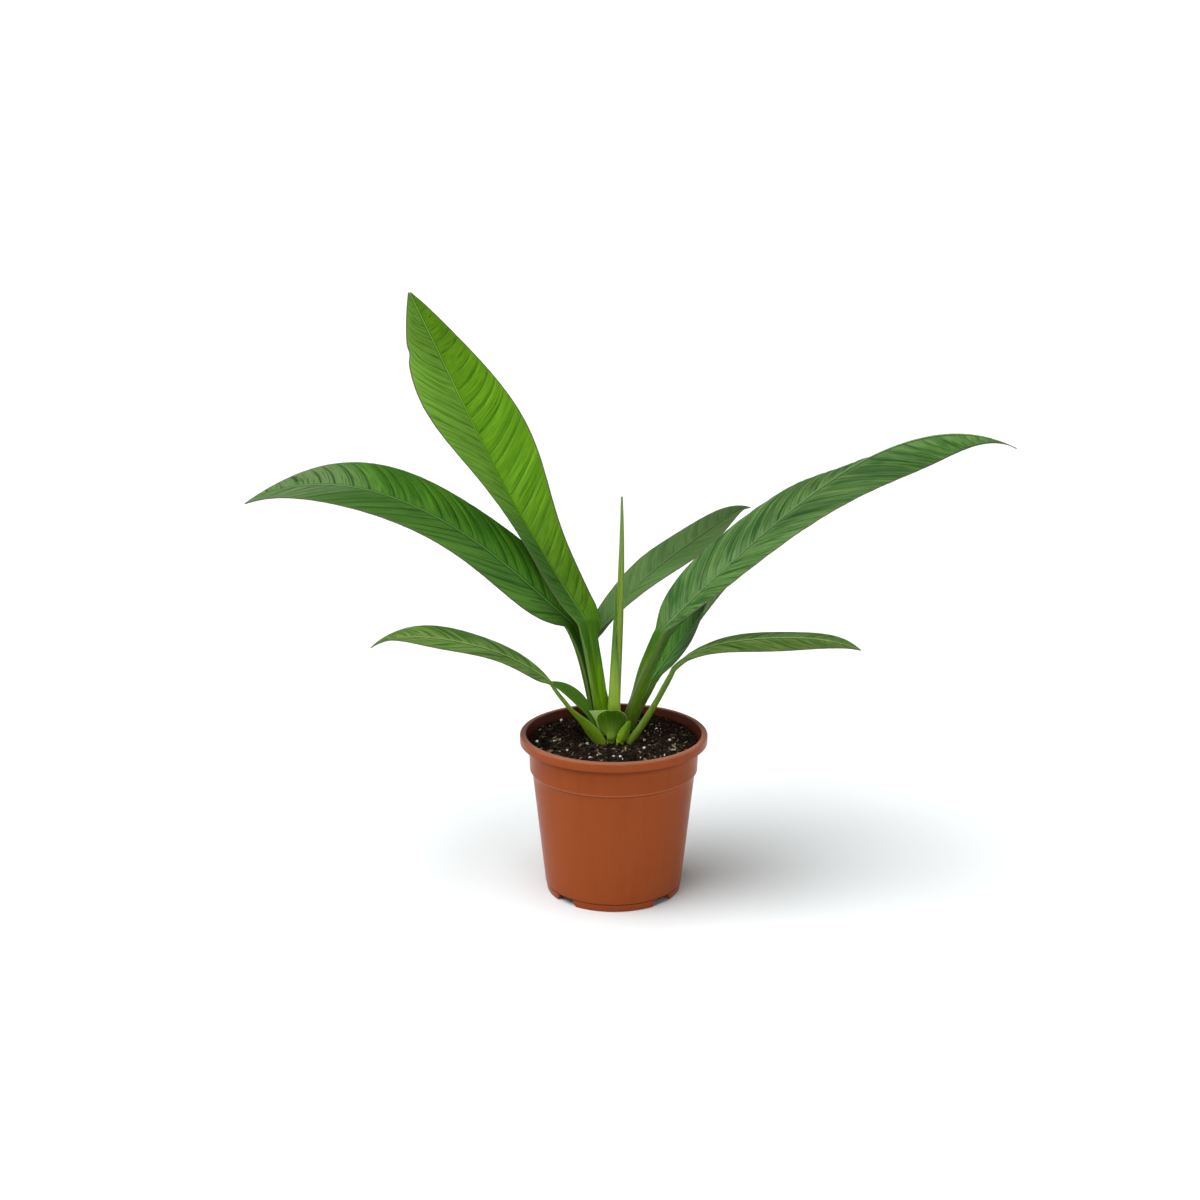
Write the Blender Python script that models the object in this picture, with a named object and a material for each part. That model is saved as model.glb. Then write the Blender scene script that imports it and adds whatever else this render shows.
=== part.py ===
"""A potted philodendron: a nursery pot of soil and a young plant with seven leaves.

The origin is under the middle of the whole thing, leaves and all, on the surface
that the pot stands on. +X runs to the viewer's right, +Y away from the viewer and
+Z up. Places below are measured from the pot's axis, sizes are in millimetres and
angles in degrees, and the meshes are written in metres.
"""
import math
from dataclasses import dataclass

import bpy
import numpy as np

MM = 0.001
GAP = 0.3                    # clearance between neighbouring pieces
HOLE_GAP = 1.1               # room at the sides of a root, whose stalk leans over its edge
MIDDLE = (15.7, 31.2, 0.0)   # the whole thing's middle, from the pot's axis

# Pot: an injection-moulded nursery pot, 12 cm across the lip
POT_HEIGHT = 105.0
LIP_RADIUS = 60.0
LIP_DEPTH = 6.0              # height of the lip's outer face
LIP_ROUND = 1.2
LIP_EDGE = 0.5               # chamfer under the lip
RIM_ROUND = 1.0
STEP_ROUND = 0.4             # rounding of the collar's lower edge
FILLET = 1.0                 # between the wall and the floor
RIM_INNER_RADIUS = 56.0
COLLAR_TOP_RADIUS = 54.5     # outside of the collar, just under the lip
COLLAR_FOOT_RADIUS = 53.8
COLLAR_FOOT_HEIGHT = 83.0
BODY_TOP_RADIUS = 52.3       # outside of the body, just under the collar's step
BODY_TOP_HEIGHT = 80.5
BODY_FOOT_RADIUS = 44.3
BODY_FOOT_HEIGHT = 5.7
SKIRT_RADIUS = 43.3          # outside of the foot ring on the surface
WALL = 1.3
FLOOR_HEIGHT = 5.0           # underside of the floor above the surface
FLOOR_THICKNESS = 1.6
NOTCH_HEIGHT = 4.3           # four notches part the foot ring into four feet
NOTCH_HALF_ANGLE = 8.0
FOOT_END_ANGLE = 11.0        # half angle of the notch at the surface, so its ends slant
DRAIN_HOLES = 6
DRAIN_RADIUS = 3.5
DRAIN_CIRCLE = 28.0

# Soil
SOIL_EDGE_HEIGHT = 100.8
SOIL_DIP = 3.0               # how much lower the soil lies at the crown
DIP_SPREAD = 30.0
HOLLOW = (-38.0, 42.0)       # a hollow in the soil by the pot's wall
HOLLOW_DEPTH = 1.2
HOLLOW_SPREAD = 12.0
SOIL_BUMP = 0.5
SOIL_FOOT_CHAMFER = 1.5
SOIL_CLEARANCE = 0.4         # between the soil and the pot's wall
SOIL_RINGS = (8, 16, 24, 32, 40, 47)

# Crown: where the stalks stand in the soil
CROWN = (0.5, 10.0)          # axis of the shoot
ROOT_DEPTH = 16.0            # how far a root is sunk below the soil's surface
ROOT_TOP = 98.9              # height at which a stalk starts to lean
SHOOT_HOLE_RADIUS = 5.7

# Leaf build
BLADE_THICKNESS = 0.7
ROWS_PER_VEIN = 2
STATIONS = (0.0, 0.4, 0.6, 0.8, 1.0)     # across one half of a leaf, midrib to margin
SPINE_STEPS = 240
STALK_START = -0.75          # along the spine, where the straight root ends
TIP_END = 0.992              # the last row of a blade, short of its point
TIP_HALF_WIDTH = 0.5
MIDRIB_HALF_WIDTH = 1.2      # under the blade, where the stalk has run out
VEIN_PATH = (0.55, 0.45)     # straight and bending share of a vein's run towards the tip
VEIN_SHIFTS = ((0.0073, 5.3), (0.006, 8.9))    # uneven spacing: waves of the veins' places
WAVE_HEIGHT = 0.8            # slow waving of the margins
WAVE_TURNS = 1.45            # waves along a blade
WAVE_PHASE = 4.5             # sets the two margins waving apart
STALK_OPEN = 0.4             # share of the stalk over which its round foot becomes a channel
STALK_JOIN = 0.7             # share of the stalk from which it takes the blade's section
KEEL_FADE = 1.5              # how quickly the midrib gets shallower along the blade
KEEL_NARROWING = 6           # how quickly it gets narrower
PLEAT_RISE = 0.3             # share of the half width over which the pleats rise
PLEAT_MARGIN = 0.7           # share of the half width from which they flatten
PLEAT_FLATTENING = 0.85      # how much of their height they lose at the margin
PLEAT_ENDS = (0.08, 0.8)     # where they are full along the blade


@dataclass
class Leaf:
    """One leaf with its stalk, or one sheath or scale.

    Values with several entries are keys of a Bezier blend from base to tip.
    """
    name: str
    root: tuple              # x and y where it stands in the soil
    root_half: tuple         # half width and half depth of its root
    root_heading: float      # direction that its outer face looks in, from +X towards +Y
    stalk: tuple             # half widths low and high on its stalk, and its depth
    base: tuple              # x, y and z where its blade starts
    length: float            # blade, along the midrib
    rise: tuple              # midrib's angle above level
    heading: tuple           # midrib's direction in plan, from +X towards +Y
    roll: tuple              # turn of the upper face about the midrib
    fold: tuple              # how far each half stands up from flat
    curl: tuple              # how far each half bends down again, midrib to margin
    half_width: tuple
    keel: float = 5.0        # depth of the midrib under the blade's base
    veins: int = 0           # side veins on each half
    pleat: float = 0.0       # height of the pleats between them
    sweep_left: tuple = (1.9, 1.6, 1.2, 0.9, 0.6)     # how far forward a vein runs, in half widths
    sweep_right: tuple = (1.9, 1.6, 1.2, 0.9, 0.6)
    droop: tuple = (0.0, 0.4, 0.8)     # angle that the left half hangs lower by, from and to
    nick: tuple = (0.5, 0.1, 0.0)      # place, length and depth of a dent in the left margin
    lobe: tuple = (0.1, 0.1, 0.0)      # place, length and height of a bulge in the right margin
    channel: float = 20.0    # how far the stalk's edges stand up
    lift: float = 0.1        # how upright the stalk leaves the soil
    knee: float = 0.12       # how early the stalk turns into the blade's direction
    rows: int = 8            # rows of a blade with no veins
    stalk_rows: int = 8


LEAVES = (
    Leaf(
        name="leaf_upright", root=(-6.1, 16.3), root_half=(4.2, 2.6), root_heading=122,
        stalk=(6.0, 5.2, 4.2), channel=26, knee=0.0, base=(-17.4, 15.1, 173.7), length=257,
        rise=(42, 42, 56, 60, 57, 56), heading=(134, 144, 142), roll=(5, 5, 3, 24),
        fold=(10, 55, 38, -6, 3), curl=(14,), half_width=(6.5, 24, 8, 27, 47, 46, 32, 20, 0),
        keel=4.6, veins=22, pleat=0.6,
        sweep_left=(1.0, 0.2, 0.2, 1.1, 1.0, 0.8), sweep_right=(1.3, 1.0, 1.0, 0.8, 0.2, 0.4),
        nick=(0.832, 0.018, 0.07), lobe=(-0.03, 0.06, 0.8),
    ),
    Leaf(
        name="leaf_arch_left", root=(-9.6, 23.4), root_half=(3.6, 2.6), root_heading=140,
        stalk=(4.2, 4.2, 4.2), base=(-27.9, 26.6, 170.7), length=247.6,
        rise=(39, 50, 24, 28, -10, -28), heading=(173, 169, 167), roll=(38, 20, 17, 18),
        fold=(15, 25, 6, 21, 10), curl=(17.5,), half_width=(6.0, 32, 25, 20, 28, 37, 31, 17.5, 0),
        keel=4.2, veins=20, pleat=0.5,
        sweep_left=(2.0, 1.6, 1.4, 1.7, 1.4, 1.0), sweep_right=(2.4, 1.9, 1.3, 0.7, 0.5, 0.5),
    ),
    Leaf(
        name="leaf_arch_right", root=(7.2, 16.4), root_half=(3.4, 3.2), root_heading=-5,
        stalk=(4.8, 5.0, 8.6), channel=12, lift=0.2, base=(30.5, 6.0, 170.0), length=300.5,
        rise=(40, 31, 42, 32, 4, -28), heading=(29, 21, 18), roll=(-9, 7, 8.5, -43.5),
        fold=(30, 17, 21, -38.5, 2), curl=(23.5,),
        half_width=(5.0, 38.5, 25, 33.5, 40, 41.5, 31.5, -1.5, 0), keel=6.0, veins=21, pleat=1.3,
        droop=(35, 0.45, 0.8),
        sweep_left=(2.0, 1.9, 1.9, 1.8, 1.2, 0.8), sweep_right=(0.2, 0.8, 1.6, 1.0, 0.9, 0.6),
    ),
    Leaf(
        name="leaf_behind_right", root=(10.4, 23.0), root_half=(3.0, 2.4), root_heading=40,
        stalk=(3.2, 3.2, 3.4), base=(25.2, 20.8, 133.1), length=98,
        rise=(54, 44, 44, 50, 45, 31), heading=(24, 25, 25), roll=(0, 3, 18, 28),
        fold=(0, 17, 20, 34, 33), curl=(8,), half_width=(3.2, 13, 19, 24, 27, 25, 19, 12, 0),
        keel=3.4, veins=12, pleat=0.5,
    ),
    Leaf(
        name="leaf_back_right", root=(-1.8, 25.4), root_half=(3.2, 2.4), root_heading=95,
        stalk=(3.2, 3.2, 3.8), base=(-14.7, 36.6, 156.9), length=158.8,
        rise=(32, 56, 18, 8, 46, -1), heading=(38, 37, 38), roll=(6, 1, -8, -2),
        fold=(29, 21, 4, -12, 48), curl=(9.5,), half_width=(4.2, 20, 9, 15, 26, 26, 15, 12.5, 0),
        keel=3.4, veins=14, pleat=0.4,
    ),
    Leaf(
        name="leaf_low_left", root=(-8.2, -3.0), root_half=(3.8, 1.8), root_heading=252,
        stalk=(8.2, 0.2, 1.2), channel=20, lift=-0.02, knee=-0.2, base=(-39.0, -6.0, 139.4),
        length=122,
        rise=(36, 39, 5, 12, 13, -36), heading=(185, 182, 179), roll=(14, 4, 4, 2),
        fold=(-5, 26, -7, 11, 29), curl=(12,), half_width=(1.8, 12, 17, 18, 20, 23, 21, 7, 0),
        keel=1.6, veins=13, pleat=0.3,
    ),
    Leaf(
        name="leaf_low_right", root=(10.6, -1.6), root_half=(2.8, 2.2), root_heading=-40,
        stalk=(2.2, 2.2, 2.8), lift=-0.05, knee=-0.09, base=(36.6, -6.0, 149.1), length=123,
        rise=(46, 14, 0, 11, 0, -22), heading=(-4.5, -10, -13), roll=(-5, 7, -9, -8),
        fold=(-2, 20, -9, -3, 19), curl=(16,), half_width=(2.4, 13, 11, 18, 24, 24, 17, 10, 0),
        keel=2.6, veins=13, pleat=0.3,
    ),
)

SHEATHS = (
    Leaf(
        name="sheath_left", root=(-9.4, 8.4), root_half=(2.4, 1.2), root_heading=190,
        stalk=(4.0, 4.0, 1.2), base=(-16.4, 9.0, 114.5), length=35, rise=(54, 54, 8),
        heading=(186, 184, 182), roll=(30, 34, 34), fold=(24, 16, 8), curl=(10,),
        half_width=(4.6, 7.0, 6.6, 4.0, 0), keel=1.2, rows=10, stalk_rows=4,
    ),
    Leaf(
        name="crown_sheath", root=(-1.7, -0.8), root_half=(2.6, 1.0), root_heading=270,
        stalk=(2.6, 3.0, 1.0), channel=4, base=(-1.3, -2.6, 102.4), length=17.4,
        rise=(98, 88, 80), heading=(270,), roll=(0,), fold=(4,), curl=(-34,),
        half_width=(3.2, 7.0, 12.5, 12.8, 4.0), keel=0.6, rows=8, stalk_rows=2,
    ),
    Leaf(
        name="scale_left", root=(-8.4, 3.0), root_half=(1.6, 0.8), root_heading=270,
        stalk=(1.4, 1.2, 0.6), base=(-8.8, 3.4, 104.4), length=13.6, rise=(82, 88),
        heading=(180,), roll=(-90,), fold=(6,), curl=(0,),
        half_width=(1.2, 1.0, 1.6, 3.6, 6.0), keel=0.4, rows=6, stalk_rows=2,
    ),
    Leaf(
        name="scale_front", root=(3.8, -4.6), root_half=(2.4, 1.0), root_heading=275,
        stalk=(2.8, 3.2, 0.8), base=(5.0, -5.2, 101.8), length=13, rise=(66, 68), heading=(0,),
        roll=(90,), fold=(6,), curl=(-30,), half_width=(3.4, 4.2, 3.2, 2.0, 0.8), keel=0.5,
        rows=6, stalk_rows=2,
    ),
)

# Rolled new leaf in the middle of the shoot, and the sheath wrapped round it
SPEAR_TIP = (4.9, 8.0, 256.0)
SPEAR_RADIUS = (3.6, 3.6, 3.2, 2.7, 2.2, 0.8)
SPEAR_ROWS = 16
SPEAR_SIDES = 14
SPEAR_SEAM = 0.5             # step at the edge of the rolled blade
SPEAR_SEAM_ANGLE = (215, 260)
SPEAR_BOW = 2.0              # how far the spear bows aside on its way up
SHEATH_TOP = 199.0
SHEATH_THICKNESS = (1.3, 1.2, 0.9, 0.7)
SHEATH_SPAN = (160, 155, 100, 45, 12)    # half angle that it wraps, soil to tip
SHEATH_FACING = (205, 190, 176)          # direction of its middle, from +X
SHEATH_ROWS = 14
SHEATH_STATIONS = 11

TERRACOTTA = (0.36, 0.085, 0.028)
SOIL_BROWN = (0.030, 0.019, 0.012)
LEAF_BRIGHT = (0.075, 0.21, 0.020)
LEAF_DEEP = (0.045, 0.13, 0.030)
SPEAR_PALE = (0.26, 0.40, 0.07)
SHEATH_OLIVE = (0.10, 0.17, 0.020)
LEAF_ROUGHNESS = 0.42


def clear_scene():
    """Starts from an empty scene."""
    for item in list(bpy.data.objects):
        bpy.data.objects.remove(item, do_unlink=True)


def principled(name, colour, roughness):
    """A plain Principled material."""
    material = bpy.data.materials.new(name)
    material.use_nodes = True
    shader = material.node_tree.nodes["Principled BSDF"]
    shader.inputs["Base Color"].default_value = (*colour, 1.0)
    shader.inputs["Roughness"].default_value = roughness
    shader.inputs["Metallic"].default_value = 0.0
    return material


def add_object(name, points, faces, material=None, sharp_angle=50.0):
    """Makes one object from points in millimetres, measured from the pot's axis."""
    mesh = bpy.data.meshes.new(name)
    places = (np.asarray(points) - np.array(MIDDLE)) * MM
    mesh.from_pydata([tuple(place) for place in places], [], faces)
    mesh.validate()
    mesh.shade_smooth()
    mesh.set_sharp_from_angle(angle=math.radians(sharp_angle))
    item = bpy.data.objects.new(name, mesh)
    bpy.context.scene.collection.objects.link(item)
    if material:
        mesh.materials.append(material)
    return item


def blend(keys, s):
    """Bezier blend of key values at s from 0 to 1."""
    last = len(keys) - 1
    s = np.clip(np.asarray(s, float), 0.0, 1.0)
    total = np.zeros_like(s)
    for i, key in enumerate(keys):
        total = total + math.comb(last, i) * s**i * (1 - s) ** (last - i) * key
    return total


def ease(start, end, s):
    """Smooth step from 0 at start to 1 at end."""
    t = np.clip((np.asarray(s, float) - start) / (end - start), 0.0, 1.0)
    return t * t * (3 - 2 * t)


def unit(vectors):
    """Vectors scaled to length 1."""
    return vectors / np.linalg.norm(vectors, axis=-1, keepdims=True)


def blade_axes(leaf, s):
    """Direction of the midrib, left side and upper face of the blade."""
    rise = np.radians(blend(leaf.rise, s))
    heading = np.radians(blend(leaf.heading, s))
    roll = np.radians(blend(leaf.roll, s))[:, None]
    level = np.cos(rise)
    along = np.stack([level * np.cos(heading), level * np.sin(heading), np.sin(rise)], -1)
    side = np.stack([-np.sin(heading), np.cos(heading), np.zeros_like(heading)], -1)
    up = np.cross(along, side)
    left = np.cos(roll) * side - np.sin(roll) * up
    face = np.cos(roll) * up + np.sin(roll) * side
    return along, left, face


def stalk_share(s):
    """How far along the stalk: 0 at the soil, 1 at the blade's base."""
    return np.clip(1 - s / STALK_START, 0.0, 1.0)


def stalk_spine(leaf, s, first_direction):
    """Points from the root's end (s = -1) up to the blade's base (s = 0)."""
    root = np.array([*leaf.root, ROOT_TOP])
    base = np.array(leaf.base, float)
    third = (base - root) / 3
    reach = np.linalg.norm(base - root)
    second = root + third + np.array([0, 0, leaf.lift]) * reach
    knee = base - third + (unit(third) - first_direction) * reach * leaf.knee
    share = stalk_share(s)[:, None]
    curve = blend((root, second, knee, base), share)
    sunk = np.clip((STALK_START - s) / (1 + STALK_START), 0.0, 1.0)
    curve[:, 2] -= sunk * (ROOT_TOP - root_bottom())
    return curve


def leaf_frames(leaf):
    """Midline points with the left side and upper face there, root (-1) to tip (1)."""
    s = np.linspace(-1.0, 1.0, 2 * SPINE_STEPS + 1)
    along, left, face = blade_axes(leaf, s[SPINE_STEPS:])
    steps = (along[1:] + along[:-1]) / 2 * leaf.length / SPINE_STEPS
    blade = np.vstack([np.zeros(3), np.cumsum(steps, axis=0)]) + np.array(leaf.base)
    stalk_s = s[:SPINE_STEPS + 1]
    stalk = stalk_spine(leaf, stalk_s, along[0])
    stalk_along = unit(np.gradient(stalk, axis=0))
    azimuth = math.radians(leaf.root_heading)
    root_left = np.array([-math.sin(azimuth), math.cos(azimuth), 0.0])
    turn = ease(0.0, 1.0, stalk_share(stalk_s))[:, None]
    stalk_left = (1 - turn) * root_left + turn * left[0]
    stalk_left -= (stalk_left * stalk_along).sum(-1, keepdims=True) * stalk_along
    stalk_left = unit(stalk_left)
    stalk_face = np.cross(stalk_along, stalk_left)
    return {
        "s": s,
        "point": np.vstack([stalk[:-1], blade]),
        "left": np.vstack([stalk_left[:-1], left]),
        "face": np.vstack([stalk_face[:-1], face]),
    }


def leaf_table(leaf):
    """Everything that changes along a leaf, from its root (-1) to its tip (1)."""
    table = leaf_frames(leaf)
    s = table["s"]
    on_stalk = s < 0
    share = stalk_share(s)
    root_width, root_depth = leaf.root_half
    low_width, high_width, depth = leaf.stalk
    stalk_half = blend((root_width, low_width, high_width, leaf.half_width[0]), share)
    half = np.where(on_stalk, stalk_half, blend(leaf.half_width, s))
    table["half"] = np.maximum(half, TIP_HALF_WIDTH)
    opened = ease(0.0, STALK_OPEN, share)
    near_blade = ease(STALK_JOIN, 1.0, share)
    stalk_fold = leaf.channel * opened * (1 - near_blade) + leaf.fold[0] * near_blade
    table["fold"] = np.where(on_stalk, stalk_fold, blend(leaf.fold, s))
    table["curl"] = np.where(on_stalk, leaf.curl[0] * ease(STALK_OPEN, 1.0, share), blend(leaf.curl, s))
    table["bulge"] = root_depth * (1 - opened)
    left_over = 1 - np.clip(s, 0.0, 1.0)
    stalk_keel = blend((root_depth, depth, depth, leaf.keel), share)
    table["keel"] = np.where(on_stalk, stalk_keel, leaf.keel * left_over**KEEL_FADE)
    reach = leaf.half_width[0] * left_over**KEEL_NARROWING + MIDRIB_HALF_WIDTH
    table["keel_reach"] = np.where(on_stalk, 1.0, np.clip(reach / table["half"], 0.0, 1.0))
    return table


def sample(table, key, s):
    """A table's column at any s."""
    column = table[key]
    if column.ndim == 1:
        return np.interp(s, table["s"], column)
    return np.stack([np.interp(s, table["s"], column[:, i]) for i in range(column.shape[1])], -1)


def vein_count(leaf, rows):
    """Side veins passed on the way from the blade's base, not quite evenly spaced."""
    place = np.array(rows, float)
    uneven = ease(0.0, 0.1, rows) * (1 - ease(0.85, 1.0, rows))
    for size, turns in VEIN_SHIFTS:
        place += size * np.sin(2 * math.pi * turns * rows + leaf.veins) * uneven
    return leaf.veins * place


def leaf_rows(leaf):
    """Row places along a leaf, two rows for each vein on the blade."""
    stalk = np.linspace(STALK_START, 0.0, leaf.stalk_rows + 1)[:-1]
    blade = np.arange(leaf.rows) / leaf.rows
    if leaf.veins:
        places = np.linspace(0.0, 1.0, SPINE_STEPS + 1)
        wanted = np.arange(leaf.veins * ROWS_PER_VEIN) / ROWS_PER_VEIN
        blade = np.interp(wanted, vein_count(leaf, places), places)
    return np.concatenate([[-1.0], stalk, blade, [TIP_END]])


def leaf_stations(leaf, table, rows):
    """Places across each row as signed fractions of the half width, left margin first."""
    inner = np.minimum(STATIONS[1], sample(table, "keel_reach", rows))
    halves = [np.zeros_like(rows)]
    for station in STATIONS[1:]:
        share = (station - STATIONS[1]) / (1 - STATIONS[1])
        halves.append(inner + (1 - inner) * share)
    halves = np.stack(halves, -1)
    return np.hstack([halves[:, :0:-1], -halves])


def pleats(leaf, rows, across, s):
    """Height of the upper face above its smooth shape."""
    size = np.abs(across)
    spread = ease(0.0, PLEAT_RISE, size) * (1 - PLEAT_FLATTENING * ease(PLEAT_MARGIN, 1.0, size))
    fade = ease(0.0, PLEAT_ENDS[0], s) * (1 - ease(PLEAT_ENDS[1], 1.0, s))
    height = leaf.pleat / 2 * np.cos(2 * math.pi * vein_count(leaf, rows))[:, None] * spread * fade
    phase = 2 * math.pi * WAVE_TURNS * s + WAVE_PHASE * np.sign(across)
    wave = WAVE_HEIGHT * size**2 * np.sin(phase) * fade
    return height + wave


def leaf_faces_points(leaf):
    """Upper and lower surface points of a leaf, in rows."""
    table = leaf_table(leaf)
    rows = leaf_rows(leaf)
    across = leaf_stations(leaf, table, rows)
    size = np.abs(across)
    s = np.repeat(rows[:, None], across.shape[1], axis=1)
    is_left = across > 0
    if leaf.veins:
        path = (VEIN_PATH[0] * size + VEIN_PATH[1] * size**2) * ease(-0.1, 0.0, rows)[:, None]
        sweep_left = blend(leaf.sweep_left, rows)[:, None]
        sweep_right = blend(leaf.sweep_right, rows)[:, None]
        reach = (sample(table, "half", rows) / leaf.length)[:, None]
        s = s + path * np.where(is_left, sweep_left, sweep_right) * reach
        s = np.minimum(s, (1 + TIP_END) / 2)
    place, length, depth = leaf.nick
    dent = depth * np.exp(-(((s - place) / length) ** 2)) * is_left
    place, length, height = leaf.lobe
    bulge = height * np.exp(-(((s - place) / length) ** 2)) * (1 - is_left)
    half = sample(table, "half", s) * (1 - dent + bulge)
    hanging, start, end = leaf.droop
    fold = sample(table, "fold", s) - hanging * ease(start, end, s) * is_left
    curl = np.radians(sample(table, "curl", s)) * size / 2
    lift = np.radians(fold) - curl
    distance = size * half * np.sinc(curl / math.pi)
    left = sample(table, "left", s)
    face = sample(table, "face", s)
    middle = sample(table, "point", s)
    sideways = (np.sign(across) * distance * np.cos(lift))[..., None] * left
    surface = middle + sideways + (distance * np.sin(lift))[..., None] * face
    tilt = lift - curl
    normal = np.cos(tilt)[..., None] * face - (np.sign(across) * np.sin(tilt))[..., None] * left
    round_off = np.sqrt(np.clip(1 - size**2, 0, 1))
    reach = sample(table, "keel_reach", s)
    keel_shape = np.sqrt(np.clip(1 - (size / reach) ** 2, 0, 1))
    bulge = sample(table, "bulge", s) * round_off
    middle_offset = pleats(leaf, rows, across, s) if leaf.veins else 0.0
    top_offset = middle_offset + bulge + BLADE_THICKNESS / 2
    bottom_offset = middle_offset - BLADE_THICKNESS / 2 - sample(table, "keel", s) * keel_shape
    upper = surface + top_offset[..., None] * normal
    lower = surface + bottom_offset[..., None] * normal
    return upper, lower


def skin_faces(row_count, column_count):
    """Triangles round two sheets of points, split alike on both, with closed ends."""
    def upper(r, c):
        return r * column_count + c

    def lower(r, c):
        return row_count * column_count + r * column_count + c

    faces = []
    middle = column_count // 2
    for r in range(row_count - 1):
        for c in range(column_count - 1):
            corners = ((r, c), (r, c + 1), (r + 1, c + 1), (r + 1, c))
            if c >= middle:
                corners = corners[1:] + corners[:1]
            a, b, d, e = corners
            faces.append((upper(*a), upper(*b), upper(*d)))
            faces.append((upper(*a), upper(*d), upper(*e)))
            faces.append((lower(*b), lower(*a), lower(*d)))
            faces.append((lower(*d), lower(*a), lower(*e)))
        for c, flip in ((0, False), (column_count - 1, True)):
            quad = [upper(r, c), upper(r + 1, c), lower(r + 1, c), lower(r, c)]
            if flip:
                quad.reverse()
            faces.append((quad[0], quad[1], quad[2]))
            faces.append((quad[0], quad[2], quad[3]))
    for r, flip in ((0, True), (row_count - 1, False)):
        for c in range(column_count - 1):
            quad = [upper(r, c), upper(r, c + 1), lower(r, c + 1), lower(r, c)]
            if flip:
                quad.reverse()
            faces.append((quad[0], quad[1], quad[2]))
            faces.append((quad[0], quad[2], quad[3]))
    return faces


def outward(faces, points):
    """Faces turned to point out of the body."""
    points = np.asarray(points)
    corners = points[np.asarray(faces)]
    volume = (corners[:, 0] * np.cross(corners[:, 1], corners[:, 2])).sum()
    if volume > 0:
        return faces
    return [tuple(reversed(face)) for face in faces]


def build_leaf(leaf, material):
    """One leaf, sheath or scale as a closed body."""
    upper, lower = leaf_faces_points(leaf)
    points = np.vstack([upper.reshape(-1, 3), lower.reshape(-1, 3)])
    faces = outward(skin_faces(upper.shape[0], upper.shape[1]), points)
    return add_object(leaf.name, points, faces, material)


def loft(rings):
    """Faces joining rings of equal size, closed by flat ends."""
    size = len(rings[0])
    faces = []
    for r in range(len(rings) - 1):
        for c in range(size):
            d = (c + 1) % size
            faces.append((r * size + c, r * size + d, (r + 1) * size + d, (r + 1) * size + c))
    faces.append(tuple(range(size))[::-1])
    faces.append(tuple(range((len(rings) - 1) * size, len(rings) * size)))
    return faces


def root_bottom():
    """Height of the lower ends of the roots."""
    return SOIL_EDGE_HEIGHT - SOIL_DIP - ROOT_DEPTH


def spear_axis(z):
    """The spear's axis and radius at a height."""
    risen = max(0.0, (z - ROOT_TOP) / (SPEAR_TIP[2] - ROOT_TOP))
    x = CROWN[0] + (SPEAR_TIP[0] - CROWN[0]) * risen + SPEAR_BOW * math.sin(math.pi * risen) * risen
    y = CROWN[1] + (SPEAR_TIP[1] - CROWN[1]) * risen
    share = (z - root_bottom()) / (SPEAR_TIP[2] - root_bottom())
    return x, y, float(blend(SPEAR_RADIUS, share))


def build_spear_sheath(material):
    """A sheath that wraps the spear's foot and narrows to a point on its left."""
    inner = []
    outer = []
    for k in range(SHEATH_ROWS + 1):
        t = k / SHEATH_ROWS
        z = root_bottom() + (SHEATH_TOP - root_bottom()) * t
        x, y, radius = spear_axis(z)
        span = float(blend(SHEATH_SPAN, t))
        inside = (radius + GAP) / math.cos(math.radians(span / (SHEATH_STATIONS - 1)))
        outside = inside + float(blend(SHEATH_THICKNESS, t))
        facing = float(blend(SHEATH_FACING, t))
        for c in range(SHEATH_STATIONS):
            turn = math.radians(facing + span * (1 - 2 * c / (SHEATH_STATIONS - 1)))
            inner.append((x + inside * math.cos(turn), y + inside * math.sin(turn), z))
            outer.append((x + outside * math.cos(turn), y + outside * math.sin(turn), z))
    points = inner + outer
    faces = outward(skin_faces(SHEATH_ROWS + 1, SHEATH_STATIONS), points)
    return add_object("spear_sheath", points, faces, material)


def build_spear(material):
    """The rolled new leaf: a slender cone with the step of its outer edge winding up it."""
    bottom = root_bottom()
    rings = []
    for k in range(SPEAR_ROWS + 1):
        z = bottom + (SPEAR_TIP[2] - bottom) * k / SPEAR_ROWS
        x, y, radius = spear_axis(z)
        risen = max(0.0, (z - ROOT_TOP) / (SPEAR_TIP[2] - ROOT_TOP))
        seam = math.radians(float(blend(SPEAR_SEAM_ANGLE, risen)))
        ring = []
        for c in range(SPEAR_SIDES):
            turn = c / (SPEAR_SIDES - 1)
            angle = seam + 2 * math.pi * c / SPEAR_SIDES
            r = radius - SPEAR_SEAM * (1 - turn) * min(1.0, radius / 2)
            ring.append((x + r * math.cos(angle), y + r * math.sin(angle), z))
        rings.append(ring)
    points = [point for ring in rings for point in ring]
    return add_object("spear", points, loft(rings), material)


def ring_angles():
    """Angles round the pot in degrees, with points at the ends of each notch."""
    quarter = (0, 11.5, 23)
    notch = (45 - FOOT_END_ANGLE, 45 - NOTCH_HALF_ANGLE, 45, 45 + NOTCH_HALF_ANGLE, 45 + FOOT_END_ANGLE)
    rest = (67, 78.5)
    return [90 * k + angle for k in range(4) for angle in quarter + notch + rest]


def foot_height(angle):
    """Height of the foot ring's edge above the surface: 0 on a foot."""
    return NOTCH_HEIGHT if abs(angle % 90 - 45) < NOTCH_HALF_ANGLE + 0.5 else 0.0


def inner_radius(z):
    """Inside radius of the pot at a height, below its rim."""
    heights = (FLOOR_HEIGHT, BODY_TOP_HEIGHT, COLLAR_FOOT_HEIGHT, POT_HEIGHT - LIP_DEPTH, POT_HEIGHT)
    radii = (
        BODY_FOOT_RADIUS - WALL, BODY_TOP_RADIUS - WALL, COLLAR_FOOT_RADIUS - WALL,
        COLLAR_TOP_RADIUS - WALL, RIM_INNER_RADIUS,
    )
    return float(np.interp(z, heights, radii))


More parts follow.
